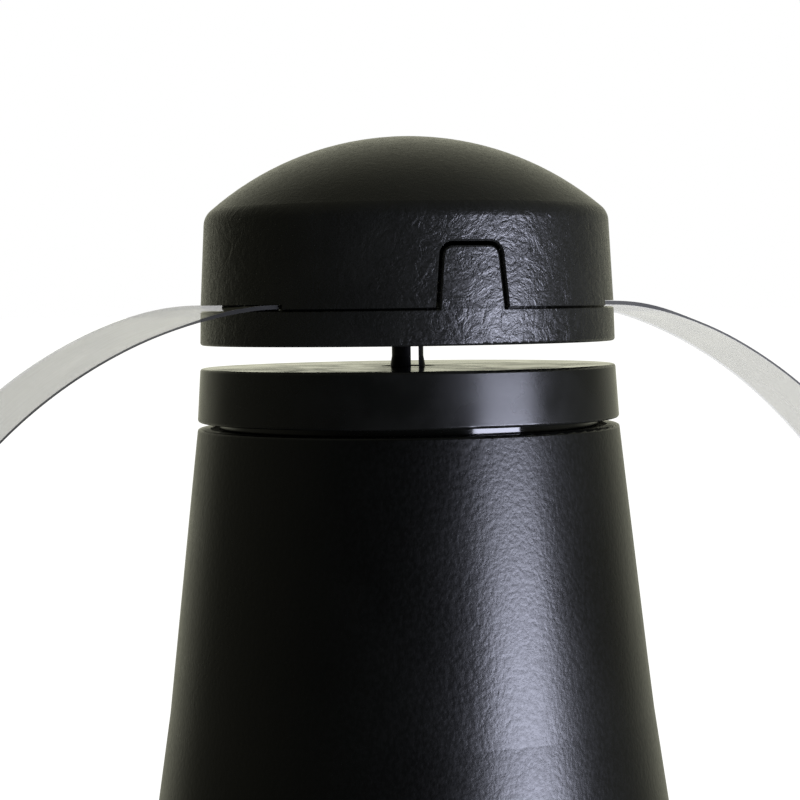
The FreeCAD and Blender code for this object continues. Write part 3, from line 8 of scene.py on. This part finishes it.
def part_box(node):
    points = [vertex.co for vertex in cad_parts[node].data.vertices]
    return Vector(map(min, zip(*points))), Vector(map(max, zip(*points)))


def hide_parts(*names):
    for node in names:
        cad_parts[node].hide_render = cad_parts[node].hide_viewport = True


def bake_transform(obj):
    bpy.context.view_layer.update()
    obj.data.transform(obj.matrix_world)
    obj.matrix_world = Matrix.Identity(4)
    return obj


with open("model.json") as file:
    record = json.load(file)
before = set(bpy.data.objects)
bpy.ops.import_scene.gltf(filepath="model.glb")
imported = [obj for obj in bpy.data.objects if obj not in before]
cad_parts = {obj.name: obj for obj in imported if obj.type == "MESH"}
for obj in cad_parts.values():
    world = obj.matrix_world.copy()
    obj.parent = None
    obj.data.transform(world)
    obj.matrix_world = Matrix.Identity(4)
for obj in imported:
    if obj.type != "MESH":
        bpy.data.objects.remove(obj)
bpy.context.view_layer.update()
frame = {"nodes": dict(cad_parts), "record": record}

MM = 0.001
SEAM_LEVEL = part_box("rotor_cap")[0].z        # seam between rotor cap and rotor base
HUB_RADIUS = 25.0 * MM                       # the rotor's radius at the seam
CAP_CORNER = SEAM_LEVEL + 12.1 * MM          # where the cap's side turns into its dome
GROOVE_TO_COLLAR = (24.0 * MM, 24.5 * MM)    # radii between the groove's wall and the collar's side


# ---------------------------------------------------------------- camera

VIEW_TURN = math.radians(-17.0)              # the camera's place about the hub axis
CAMERA_DISTANCE = 0.2665
CAMERA_SIDE = -0.0010                        # its place right of the line to the hub axis
CAMERA_ABOVE_SEAM = 0.0007
CAMERA_PITCH = 0.0442                        # radians, downwards
CAMERA_ROLL = 0.0133                         # radians, the camera's head leans to its right
LENS_MM = 98.6
SENSOR_MM = 36.0


def add_camera():
    data = bpy.data.cameras.new("camera")
    data.lens = LENS_MM
    data.sensor_width = SENSOR_MM
    data.clip_start = 0.01
    data.clip_end = 50.0
    camera = bpy.data.objects.new("camera", data)
    bpy.context.scene.collection.objects.link(camera)
    facing = Matrix.Rotation(VIEW_TURN, 4, "Z")
    place = Matrix.Translation((CAMERA_SIDE, -CAMERA_DISTANCE, SEAM_LEVEL + CAMERA_ABOVE_SEAM))
    tilt = Matrix.Rotation(math.pi / 2 - CAMERA_PITCH, 4, "X")
    roll = Matrix.Rotation(-CAMERA_ROLL, 4, "Z")
    camera.matrix_world = facing @ place @ tilt @ roll
    bpy.context.scene.camera = camera
    return camera


# ---------------------------------------------------------------- node helpers

class Shader:
    """A material with one Principled shader and short calls for the nodes that feed it."""

    def __init__(self, name):
        self.material = bpy.data.materials.new(name)
        self.material.use_nodes = True
        self.tree = self.material.node_tree
        self.surface = self.tree.nodes["Principled BSDF"]
        self.place = self.add("ShaderNodeTexCoord").outputs["Object"]

    def add(self, kind, **settings):
        node = self.tree.nodes.new(kind)
        for key, value in settings.items():
            setattr(node, key, value)
        return node

    def join(self, source, target):
        self.tree.links.new(source, target)

    def set(self, **values):
        for key, value in values.items():
            self.surface.inputs[key.replace("_", " ")].default_value = value

    def feed(self, input_name, value):
        self.join(value, self.surface.inputs[input_name])

    def stretched(self, x, y, z):
        """The place scaled along each axis, for a pattern that runs in one direction."""
        mapping = self.add("ShaderNodeMapping")
        mapping.inputs["Scale"].default_value = (x, y, z)
        self.join(self.place, mapping.inputs["Vector"])
        return mapping.outputs["Vector"]

    def upward(self, vector):
        """A vector's part along the hub axis."""
        parts = self.add("ShaderNodeSeparateXYZ")
        self.join(vector, parts.inputs["Vector"])
        return parts.outputs["Z"]

    def length(self, vector):
        node = self.add("ShaderNodeVectorMath", operation="LENGTH")
        self.join(vector, node.inputs[0])
        return node.outputs["Value"]

    def noise(self, size, detail=2.0, rough=0.5, place=None, twist=0.0):
        """Noise whose blotches are about this size in metres."""
        node = self.add("ShaderNodeTexNoise")
        node.inputs["Scale"].default_value = 1.0 / size
        node.inputs["Detail"].default_value = detail
        node.inputs["Roughness"].default_value = rough
        node.inputs["Distortion"].default_value = twist
        self.join(place or self.place, node.inputs["Vector"])
        return node.outputs["Fac"]

    def cells(self, size):
        """Cells of about this size in metres."""
        node = self.add("ShaderNodeTexVoronoi")
        node.inputs["Scale"].default_value = 1.0 / size
        self.join(self.place, node.inputs["Vector"])
        return node.outputs["Distance"]

    def remap(self, value, low, high, to_low, to_high):
        """The value's range from low to high, carried smoothly to another range."""
        node = self.add("ShaderNodeMapRange", interpolation_type="SMOOTHSTEP")
        ranges = {"From Min": low, "From Max": high, "To Min": to_low, "To Max": to_high}
        for key, number in ranges.items():
            node.inputs[key].default_value = number
        self.join(value, node.inputs["Value"])
        return node.outputs["Result"]

    def spread(self, pattern, to_low=0.0, to_high=1.0):
        """Noise, most of which lies between 0.3 and 0.7, carried to this range."""
        return self.remap(pattern, 0.3, 0.7, to_low, to_high)

    def math(self, operation, first, second):
        node = self.add("ShaderNodeMath", operation=operation)
        for socket, value in zip(node.inputs, (first, second)):
            if isinstance(value, (int, float)):
                socket.default_value = value
            else:
                self.join(value, socket)
        return node.outputs["Value"]

    def colours(self, amount, dark, light):
        """Base colour between these two, the light one where the amount is 1."""
        node = self.add("ShaderNodeMix", data_type="RGBA")
        node.inputs["A"].default_value = (*dark, 1.0)
        node.inputs["B"].default_value = (*light, 1.0)
        self.join(amount, node.inputs["Factor"])
        self.feed("Base Color", node.outputs["Result"])

    def bumps(self, *layers):
        """Stack bump layers, each (height, depth in metres, strength)."""
        normal = None
        for height, depth, strength in layers:
            node = self.add("ShaderNodeBump")
            node.inputs["Distance"].default_value = depth
            node.inputs["Strength"].default_value = strength
            self.join(height, node.inputs["Height"])
            if normal is not None:
                self.join(normal, node.inputs["Normal"])
            normal = node.outputs["Normal"]
        self.feed("Normal", normal)


# ---------------------------------------------------------------- materials

def scaled(colour, factor):
    return [part * factor for part in colour]


def stand_plastic():
    """Black moulding with a fine leather grain that breaks up the highlight."""
    m = Shader("stand_plastic")
    grain = m.noise(0.60 * MM, detail=2.0, rough=0.5, place=m.stretched(1.2, 1.2, 1))
    fine = m.noise(0.25 * MM, detail=2.0)
    sweep = m.noise(16 * MM, detail=2.0)
    m.colours(m.spread(sweep), (0.0016, 0.0017, 0.0013), (0.0028, 0.0030, 0.0023))
    m.feed("Roughness", m.math("ADD", m.spread(grain, 0.275, 0.325), m.spread(sweep, -0.01, 0.02)))
    m.bumps((grain, 0.052 * MM, 0.56), (fine, 0.008 * MM, 0.4))
    return m.material


def rotor_plastic():
    """Black moulding: curly scuffs around its side, a smoother dome, and a glossier seam groove
    painted near black as its shade.
    """
    m = Shader("rotor_plastic")
    mottle = m.noise(2.3 * MM, detail=3.0, rough=0.6, twist=2.4)
    swirl = m.noise(0.7 * MM, detail=2.0, rough=0.5, twist=3.0)
    wear = m.noise(7 * MM, detail=3.0)
    height = m.upward(m.place)
    reach = m.length(m.stretched(1, 1, 0))
    # Painted shade: the seam groove, just inside the hub's side, is coloured near black; the mask
    # below is 0 there and 1 elsewhere.
    off_seam = m.math("ABSOLUTE", m.math("SUBTRACT", height, SEAM_LEVEL), 0.0)
    outside_seam_shade = m.math("MAXIMUM", m.remap(off_seam, 0.15 * MM, 0.22 * MM, 0.0, 1.0),
                   m.remap(reach, HUB_RADIUS - 0.10 * MM, HUB_RADIUS - 0.04 * MM, 0.0, 1.0))
    # The dark colour is the seam's painted shade; the light colour is the moulding, varied at
    # random.
    m.colours(m.math("MULTIPLY", m.remap(wear, 0.35, 0.7, 0.7, 1.0), outside_seam_shade),
              (0.0008, 0.0008, 0.0007), (0.0125, 0.0128, 0.0108))
    m.feed("Roughness", m.math("ADD", m.remap(swirl, 0.35, 0.65, 0.24, 0.36),
                               m.remap(outside_seam_shade, 0.0, 1.0, -0.20, 0.0)))
    scuffed = m.remap(height, CAP_CORNER - 1.5 * MM, CAP_CORNER + 0.5 * MM, 1.0, 0.30)
    m.bumps((m.math("MULTIPLY", m.math("SUBTRACT", mottle, 0.5), scuffed), 0.14 * MM, 0.78),
            (m.math("MULTIPLY", m.math("SUBTRACT", swirl, 0.5), scuffed), 0.040 * MM, 0.65))
    return m.material


def collar_plastic():
    """Black moulding, semi-gloss on its side, glossier on its flat top and in the groove below."""
    m = Shader("collar_plastic")
    cloud = m.noise(5 * MM, detail=3.0)
    fine = m.noise(0.5 * MM, detail=2.0)
    smear = m.noise(9 * MM, detail=4.0, place=m.stretched(1, 0.5, 1), twist=1.5)
    m.colours(m.spread(cloud), (0.0045, 0.0047, 0.0038), (0.0065, 0.0067, 0.0056))
    facing = m.upward(m.add("ShaderNodeNewGeometry").outputs["Normal"])
    reach = m.length(m.stretched(1, 1, 0))
    side = m.spread(cloud, 0.24, 0.30)
    top = m.math("MULTIPLY", m.remap(facing, 0.90, 0.99, 0.0, 1.0), m.spread(smear, 0.05, 0.13))
    groove = m.math("SUBTRACT", m.remap(reach, *GROOVE_TO_COLLAR, 0.20, 0.0),
                    m.remap(facing, 0.5, 0.9, 0.0, 0.20))
    m.feed("Roughness", m.math("SUBTRACT", m.math("SUBTRACT", side, top),
                               m.math("MAXIMUM", groove, 0.0)))
    m.bumps((cloud, 0.03 * MM, 0.2), (fine, 0.008 * MM, 0.3))
    return m.material


def dark_moulding(name, colour, roughness):
    """Plain moulded plastic with a faint grain."""
    m = Shader(name)
    cloud = m.noise(4 * MM, detail=3.0)
    fine = m.noise(0.4 * MM, detail=2.0)
    m.colours(m.spread(cloud), scaled(colour, 0.8), scaled(colour, 1.2))
    m.feed("Roughness", m.spread(cloud, roughness - 0.05, roughness + 0.07))
    m.bumps((fine, 0.02 * MM, 0.4))
    return m.material


def metal(name, colour, roughness, grain_size, along=(1.0, 1.0, 1.0)):
    """Metal with fine marks that run along one direction."""
    m = Shader(name)
    marks = m.noise(grain_size, detail=3.0, place=m.stretched(*along))
    cloud = m.noise(3 * MM, detail=2.0)
    m.set(Metallic=1.0)
    m.colours(m.spread(cloud), scaled(colour, 0.82), colour)
    m.feed("Roughness", m.spread(marks, roughness - 0.08, roughness + 0.1))
    m.bumps((marks, 0.01 * MM, 0.4))
    return m.material


def film(name, albedo, cover, gloss=0.5):
    """Frosted see-through film, a little cloudier in streaks along its length."""
    m = Shader(name)
    cloud = m.noise(6 * MM, detail=3.0)
    streak = m.noise(1.2 * MM, detail=2.0, place=m.stretched(0.25, 1.0, 0.25))
    m.colours(m.spread(cloud), scaled(albedo, 0.9), scaled(albedo, 1.1))
    m.feed("Alpha", m.spread(streak, cover - 0.012, cover + 0.012))
    m.feed("Roughness", m.spread(cloud, 0.30, 0.42))
    m.bumps((streak, 0.006 * MM, 0.15))
    m.set(Specular_IOR_Level=gloss)
    return m.material


def rubber(name, colour):
    """Dull rubber or wire covering with a speckled skin."""
    m = Shader(name)
    speck = m.cells(0.5 * MM)
    cloud = m.noise(5 * MM, detail=2.0)
    m.colours(m.spread(cloud), scaled(colour, 0.8), scaled(colour, 1.3))
    m.feed("Roughness", m.spread(cloud, 0.55, 0.7))
    m.bumps((speck, 0.03 * MM, 0.3))
    return m.material


def slot_materials():
    return {
        "stand_plastic": stand_plastic(),
        "collar_plastic": collar_plastic(),
        "rotor_plastic": rotor_plastic(),
        "inner_plastic": dark_moulding("inner_plastic", (0.006, 0.006, 0.006), 0.42),
        "switch_plastic": dark_moulding("switch_plastic", (0.012, 0.012, 0.013), 0.38),
        "end_bell_plastic": dark_moulding("end_bell_plastic", (0.62, 0.60, 0.54), 0.45),
        "foot_rubber": rubber("foot_rubber", (0.012, 0.012, 0.012)),
        "lead_red": rubber("lead_red", (0.42, 0.02, 0.02)),
        "lead_black": rubber("lead_black", (0.015, 0.015, 0.015)),
        "cell_wrap": dark_moulding("cell_wrap", (0.10, 0.12, 0.16), 0.3),
        "motor_steel": metal("motor_steel", (0.60, 0.60, 0.58), 0.30, 0.6 * MM, (1, 1, 8)),
        "screw_steel": metal("screw_steel", (0.42, 0.42, 0.41), 0.34, 0.3 * MM),
        "core_steel": metal("core_steel", (0.20, 0.20, 0.21), 0.45, 0.35 * MM, (0.2, 0.2, 4)),
        "magnet": dark_moulding("magnet", (0.03, 0.03, 0.032), 0.5),
        "copper": metal("copper", (0.72, 0.33, 0.16), 0.28, 0.25 * MM, (0.3, 0.3, 6)),
        "bronze": metal("bronze", (0.55, 0.36, 0.17), 0.40, 0.25 * MM),
        "contact_metal": metal("contact_metal", (0.72, 0.72, 0.70), 0.24, 0.4 * MM, (1, 6, 1)),
    }


def paint_nodes(materials):
    """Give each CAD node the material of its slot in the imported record."""
    slots = {part["node"]: part["material_slot"] for part in frame["record"]["subparts"]}
    for name, node in frame["nodes"].items():
        material = materials.get(slots[name])
        if material is None:
            continue
        node.data.materials.clear()
        node.data.materials.append(material)


# ---------------------------------------------------------------- blades

FILM_WIDTH = 30 * MM
FILM_THICKNESS = 0.24 * MM
FILM_ROOT_THICKNESS = 0.46 * MM              # where it is clamped in the rotor
FILM_ROOT = 11 * MM                          # radius where the clamped film begins
FILM_BEND_START = 20.5 * MM                  # radius where it begins to droop
FILM_RISE = 0.45 * MM                        # its height above the seam up to there
# each film's bends in turn: length along the film, degrees it turns down over that length
RIGHT_BENDS = ((9.8 * MM, 14.4), (8 * MM, 10.8), (20 * MM, 19.9),
               (25 * MM, 20.6), (40 * MM, 14.2), (75.2 * MM, 3.0))
LEFT_BENDS = ((9.8 * MM, 16.0), (8 * MM, 10.0), (20 * MM, 21.5),
              (25 * MM, 19.0), (40 * MM, 12.0), (75.2 * MM, 4.0))
FILM_TIP_ROUND = 9 * MM
FILM_TIP_ROWS = 12
FILM_STEP = 1.0 * MM
FILM_COLUMNS = 32
ROOT_TO_SHEET = (24.5 * MM, 32 * MM)         # radii over which it thins from root to sheet
WAVE_HEIGHT = 0.25 * MM                      # the film's faint unevenness
WAVE_FADE_IN = (30 * MM, 70 * MM)            # distances over which that sets in
WAVES_ALONG = 40                             # per metre
WAVES_ACROSS = 1.5                           # per half width
ROLL_FADE_IN = (18 * MM, 32 * MM)            # radii over which a film's twist sets in
RIGHT_ROLL_AT_HUB = 0.8                      # degrees
RIGHT_ROLL_GROWTH = 0.25                     # degrees more for each millimetre outwards,
RIGHT_ROLL_GROWS = (23, 60)                  # between these radii in millimetres
RIGHT_ROLL_FADE_OUT = (52 * MM, 160 * MM)    # distances over which it dies away to the tip
LEFT_ROLL = -2.0                             # degrees


def smooth(value, low, high):
    share = min(max((value - low) / (high - low), 0.0), 1.0)
    return share * share * (3 - 2 * share)


def film_curve(bends):
    """Points (distance, radius, height, slope) along the film's middle line."""
    points = []
    distance, radius, height, slope = 0.0, FILM_ROOT, SEAM_LEVEL + FILM_RISE, 0.0
    for length, turn in ((FILM_BEND_START - FILM_ROOT, 0.0), *bends):
        steps = max(2, round(length / FILM_STEP))
        for _ in range(steps):
            points.append((distance, radius, height, slope))
            half = math.radians(turn) / steps / 2
            radius += math.cos(slope + half) * length / steps
            height -= math.sin(slope + half) * length / steps
            slope += 2 * half
            distance += length / steps
    points.append((distance, radius, height, slope))
    return points


def add_tip_rows(points):
    """More rows over the rounded tip, so that its corners are smooth."""
    length, radius, height, slope = points[-1]
    body = [point for point in points if length - point[0] > FILM_TIP_ROUND]
    for step in range(FILM_TIP_ROWS + 1):
        back = FILM_TIP_ROUND * (1 - math.sin(math.pi / 2 * step / FILM_TIP_ROWS))
        body.append((length - back, radius - math.cos(slope) * back,
                     height + math.sin(slope) * back, slope))
    return body


def half_width_at(distance, length):
    """Half the film's width, narrowing over its rounded tip corners."""
    left = length - distance
    if left >= FILM_TIP_ROUND:
        return FILM_WIDTH / 2
    along = FILM_TIP_ROUND - left
    inset = FILM_TIP_ROUND - math.sqrt(max(FILM_TIP_ROUND ** 2 - along ** 2, 0.0))
    return FILM_WIDTH / 2 - inset


def right_roll(radius, distance):
    """Twist of the right blade in degrees: it grows from the hub, then dies away to the tip."""
    grow_from, grow_to = RIGHT_ROLL_GROWS
    grown = min(max(radius / MM - grow_from, 0.0), grow_to - grow_from)
    return ((RIGHT_ROLL_AT_HUB + RIGHT_ROLL_GROWTH * grown)
            * (1 - smooth(distance, *RIGHT_ROLL_FADE_OUT)))


def left_roll(radius, distance):
    """Twist of the left blade in degrees, the same all along."""
    return LEFT_ROLL


def blade(name, nodes, turn, bends, roll_at, face, rim_shade, near_side, seed):
    """One limp film blade: a closed thin strip that bends from the rotor to its own body.

    Its long rim on the near side, 1 or -1, is painted dark: painted shade of its cut edge. The seed
    sets its unevenness.
    """
    points = add_tip_rows(film_curve(bends))
    length = points[-1][0]
    rotation = Matrix.Rotation(turn, 3, "Z")
    grid = []
    for distance, radius, height, slope in points:
        centre = Vector((radius, 0, height))
        normal = Vector((math.sin(slope), 0, math.cos(slope)))
        roll = math.radians(roll_at(radius, distance)) * smooth(radius, *ROLL_FADE_IN)
        across = Vector((0, math.cos(roll), 0)) + normal * math.sin(roll)
        half = half_width_at(distance, length)
        row = []
        for column in range(FILM_COLUMNS + 1):
            share = 2 * column / FILM_COLUMNS - 1
            wave = noise.noise(Vector((distance * WAVES_ALONG, share * WAVES_ACROSS, seed)))
            wave *= WAVE_HEIGHT * smooth(distance, *WAVE_FADE_IN)
            row.append(rotation @ (centre + across * half * share + normal * wave))
        thinned = smooth(radius, *ROOT_TO_SHEET)
        thickness = FILM_THICKNESS + (FILM_ROOT_THICKNESS - FILM_THICKNESS) * (1 - thinned)
        grid.append((row, rotation @ normal * (thickness / 2)))
    mesh = strip_mesh(name, grid, near_side)
    mesh.materials.append(face)
    mesh.materials.append(rim_shade)
    piece = bpy.data.objects.new(name, mesh)
    bpy.context.scene.collection.objects.link(piece)
    piece.visible_glossy = False                 # the stand's highlight stays clear of it
    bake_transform(piece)
    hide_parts(*nodes)
    return piece


def strip_mesh(name, grid, near_side):
    """Closed mesh of a thin sheet; the long rim on its near side gets the second material, painted
    shade of its cut edge.
    """
    rows, columns = len(grid), len(grid[0][0])
    vertices = []
    for side in (1, -1):
        for row, offset in grid:
            vertices += [point + offset * side for point in row]

    def index(side, row, column):
        return side * rows * columns + row * columns + column

    faces = []
    rims = []
    near_rims = []
    for row in range(rows - 1):
        for column in range(columns - 1):
            corners = [(row, column), (row + 1, column), (row + 1, column + 1), (row, column + 1)]
            faces.append([index(0, *corner) for corner in corners])
            faces.append([index(1, *corner) for corner in reversed(corners)])
        for column, order in ((0, 1), (columns - 1, -1)):
            rim = [index(0, row, column), index(1, row, column),
                   index(1, row + 1, column), index(0, row + 1, column)]
            (near_rims if order == near_side else rims).append(rim[::order])
    for column in range(columns - 1):
        for row, order in ((0, -1), (rows - 1, 1)):
            rim = [index(0, row, column), index(1, row, column),
                   index(1, row, column + 1), index(0, row, column + 1)]
            rims.append(rim[::order])
    mesh = bpy.data.meshes.new(name)
    mesh.from_pydata(vertices, [], faces + rims + near_rims)
    mesh.validate()
    first_near = len(faces) + len(rims)
    for polygon in mesh.polygons:
        polygon.material_index = 1 if polygon.index >= first_near else 0
        polygon.use_smooth = polygon.index < len(faces)
    return mesh


# ---------------------------------------------------------------- studio

SIGHT = Matrix.Rotation(VIEW_TURN, 3, "Z") @ Vector((0, 1, 0))   # the camera's way, level
TARGET = Vector((0, 0, SEAM_LEVEL - 0.03))                       # where the softbox points
FLOOR_RADIUS = 40.0
FLOOR_SIDES = 128
FLOOR_NEAR = 0.16                            # radius within which the floor is dimmest
FLOOR_FAR = 0.45                             # and beyond which it glows as white as the backdrop
FLOOR_DIM = 0.50                             # its glow within the nearer radius


def direction(side_angle, rise_angle):
    """From the object, this far round from the camera towards its right, and this far up."""
    flat = Matrix.Rotation(math.radians(side_angle), 3, "Z") @ -SIGHT
    rise = math.radians(rise_angle)
    return Vector((flat.x * math.cos(rise), flat.y * math.cos(rise), math.sin(rise)))


def softbox(name, side_angle, rise_angle, distance, width, height, radiance, colour):
    data = bpy.data.lights.new(name, "AREA")
    data.shape = "RECTANGLE"
    data.size = width
    data.size_y = height
    data.energy = radiance * math.pi * width * height
    data.color = colour
    light = bpy.data.objects.new(name, data)
    bpy.context.scene.collection.objects.link(light)
    way = direction(side_angle, rise_angle)
    light.location = TARGET + way * distance
    light.rotation_euler = way.to_track_quat("Z", "Y").to_euler()
    light.visible_camera = False
    return light


ROOM_DIM = 0.007                             # radiance all round
ROOM_COLOUR = (1.0, 1.0, 0.78, 1)
# each glow: its direction, the cosines where it starts and is full, its radiance
ROOM_GLOWS = (
    (direction(180, 0), 0.42, 1.0, 0.42),
    (direction(180, 3), 0.90, 1.0, 0.34),
    (direction(-120, 20), -0.10, 1.0, 0.09),
    (direction(125, 10), 0.10, 1.0, 0.10),
    (Vector((0, 0, 1)), 0.25, 1.0, 0.055),
)


def add_world():
    """White to the eye; as a light, a dim room that brightens behind and above the object."""
    world = bpy.data.worlds.new("studio")
    bpy.context.scene.world = world
    world.use_nodes = True
    nodes, links = world.node_tree.nodes, world.node_tree.links
    nodes.clear()
    output = nodes.new("ShaderNodeOutputWorld")
    seen = nodes.new("ShaderNodeBackground")
    seen.inputs["Strength"].default_value = 1.0
    seen.inputs["Color"].default_value = (1, 1, 1, 1)
    lit = nodes.new("ShaderNodeBackground")
    lit.inputs["Color"].default_value = ROOM_COLOUR
    place = nodes.new("ShaderNodeTexCoord")
    level = None
    for way, low, high, glow in ROOM_GLOWS:
        toward = nodes.new("ShaderNodeVectorMath")
        toward.operation = "DOT_PRODUCT"
        toward.inputs[1].default_value = way
        links.new(place.outputs["Generated"], toward.inputs[0])
        ramp = nodes.new("ShaderNodeMapRange")
        ramp.interpolation_type = "SMOOTHSTEP"
        ramp.inputs["From Min"].default_value = low
        ramp.inputs["From Max"].default_value = high
        ramp.inputs["To Min"].default_value = 0.0
        ramp.inputs["To Max"].default_value = glow
        links.new(toward.outputs["Value"], ramp.inputs["Value"])
        total = nodes.new("ShaderNodeMath")
        links.new(ramp.outputs["Result"], total.inputs[0])
        if level is None:
            total.inputs[1].default_value = ROOM_DIM
        else:
            links.new(level, total.inputs[1])
        level = total.outputs["Value"]
    links.new(level, lit.inputs["Strength"])
    path = nodes.new("ShaderNodeLightPath")
    mix = nodes.new("ShaderNodeMixShader")
    links.new(path.outputs["Is Camera Ray"], mix.inputs["Fac"])
    links.new(lit.outputs["Background"], mix.inputs[1])
    links.new(seen.outputs["Background"], mix.inputs[2])
    links.new(mix.outputs["Shader"], output.inputs["Surface"])


def add_floor():
    """A wide plain pale floor that brightens into the white backdrop away from the object."""
    ring = [(FLOOR_RADIUS * math.cos(2 * math.pi * i / FLOOR_SIDES),
             FLOOR_RADIUS * math.sin(2 * math.pi * i / FLOOR_SIDES), 0.0)
            for i in range(FLOOR_SIDES)]
    mesh = bpy.data.meshes.new("floor")
    mesh.from_pydata(ring, [], [list(range(FLOOR_SIDES))])
    floor = bpy.data.objects.new("floor", mesh)
    bpy.context.scene.collection.objects.link(floor)
    m = Shader("floor")
    m.set(Base_Color=(0.80, 0.80, 0.80, 1), Roughness=0.9, Specular_IOR_Level=0.0,
          Emission_Color=(1, 1, 1, 1))
    m.feed("Emission Strength",
           m.remap(m.length(m.place), FLOOR_NEAR, FLOOR_FAR, FLOOR_DIM, 1.0))
    mesh.materials.append(m.material)
    floor.visible_glossy = False
    floor.visible_diffuse = False
    floor.visible_shadow = False


# ---------------------------------------------------------------- build

materials = slot_materials()
paint_nodes(materials)
# The near rims are painted dark: painted shade of the film's cut edge seen edge-on.
film_rim_painted_shade = film("film_rim_painted_shade", (0.022, 0.022, 0.020), 0.93, gloss=0.12)
blade("right_blade", ("blade_right", "blade_right_root"),
      turn=0.0, bends=RIGHT_BENDS, roll_at=right_roll,
      face=film("right_film", (0.70, 0.70, 0.66), 0.29), rim_shade=film_rim_painted_shade, near_side=1, seed=3.0)
blade("left_blade", ("blade_left", "blade_left_root"),
      turn=math.pi, bends=LEFT_BENDS, roll_at=left_roll,
      face=film("left_film", (0.66, 0.65, 0.58), 0.38), rim_shade=film_rim_painted_shade, near_side=-1, seed=11.0)
add_camera()
add_world()
add_floor()
softbox("key_light", side_angle=53, rise_angle=-11, distance=1.0, width=0.54, height=0.53,
        radiance=20.0, colour=(0.77, 0.80, 1.0))
bpy.context.scene.view_settings.view_transform = "Standard"
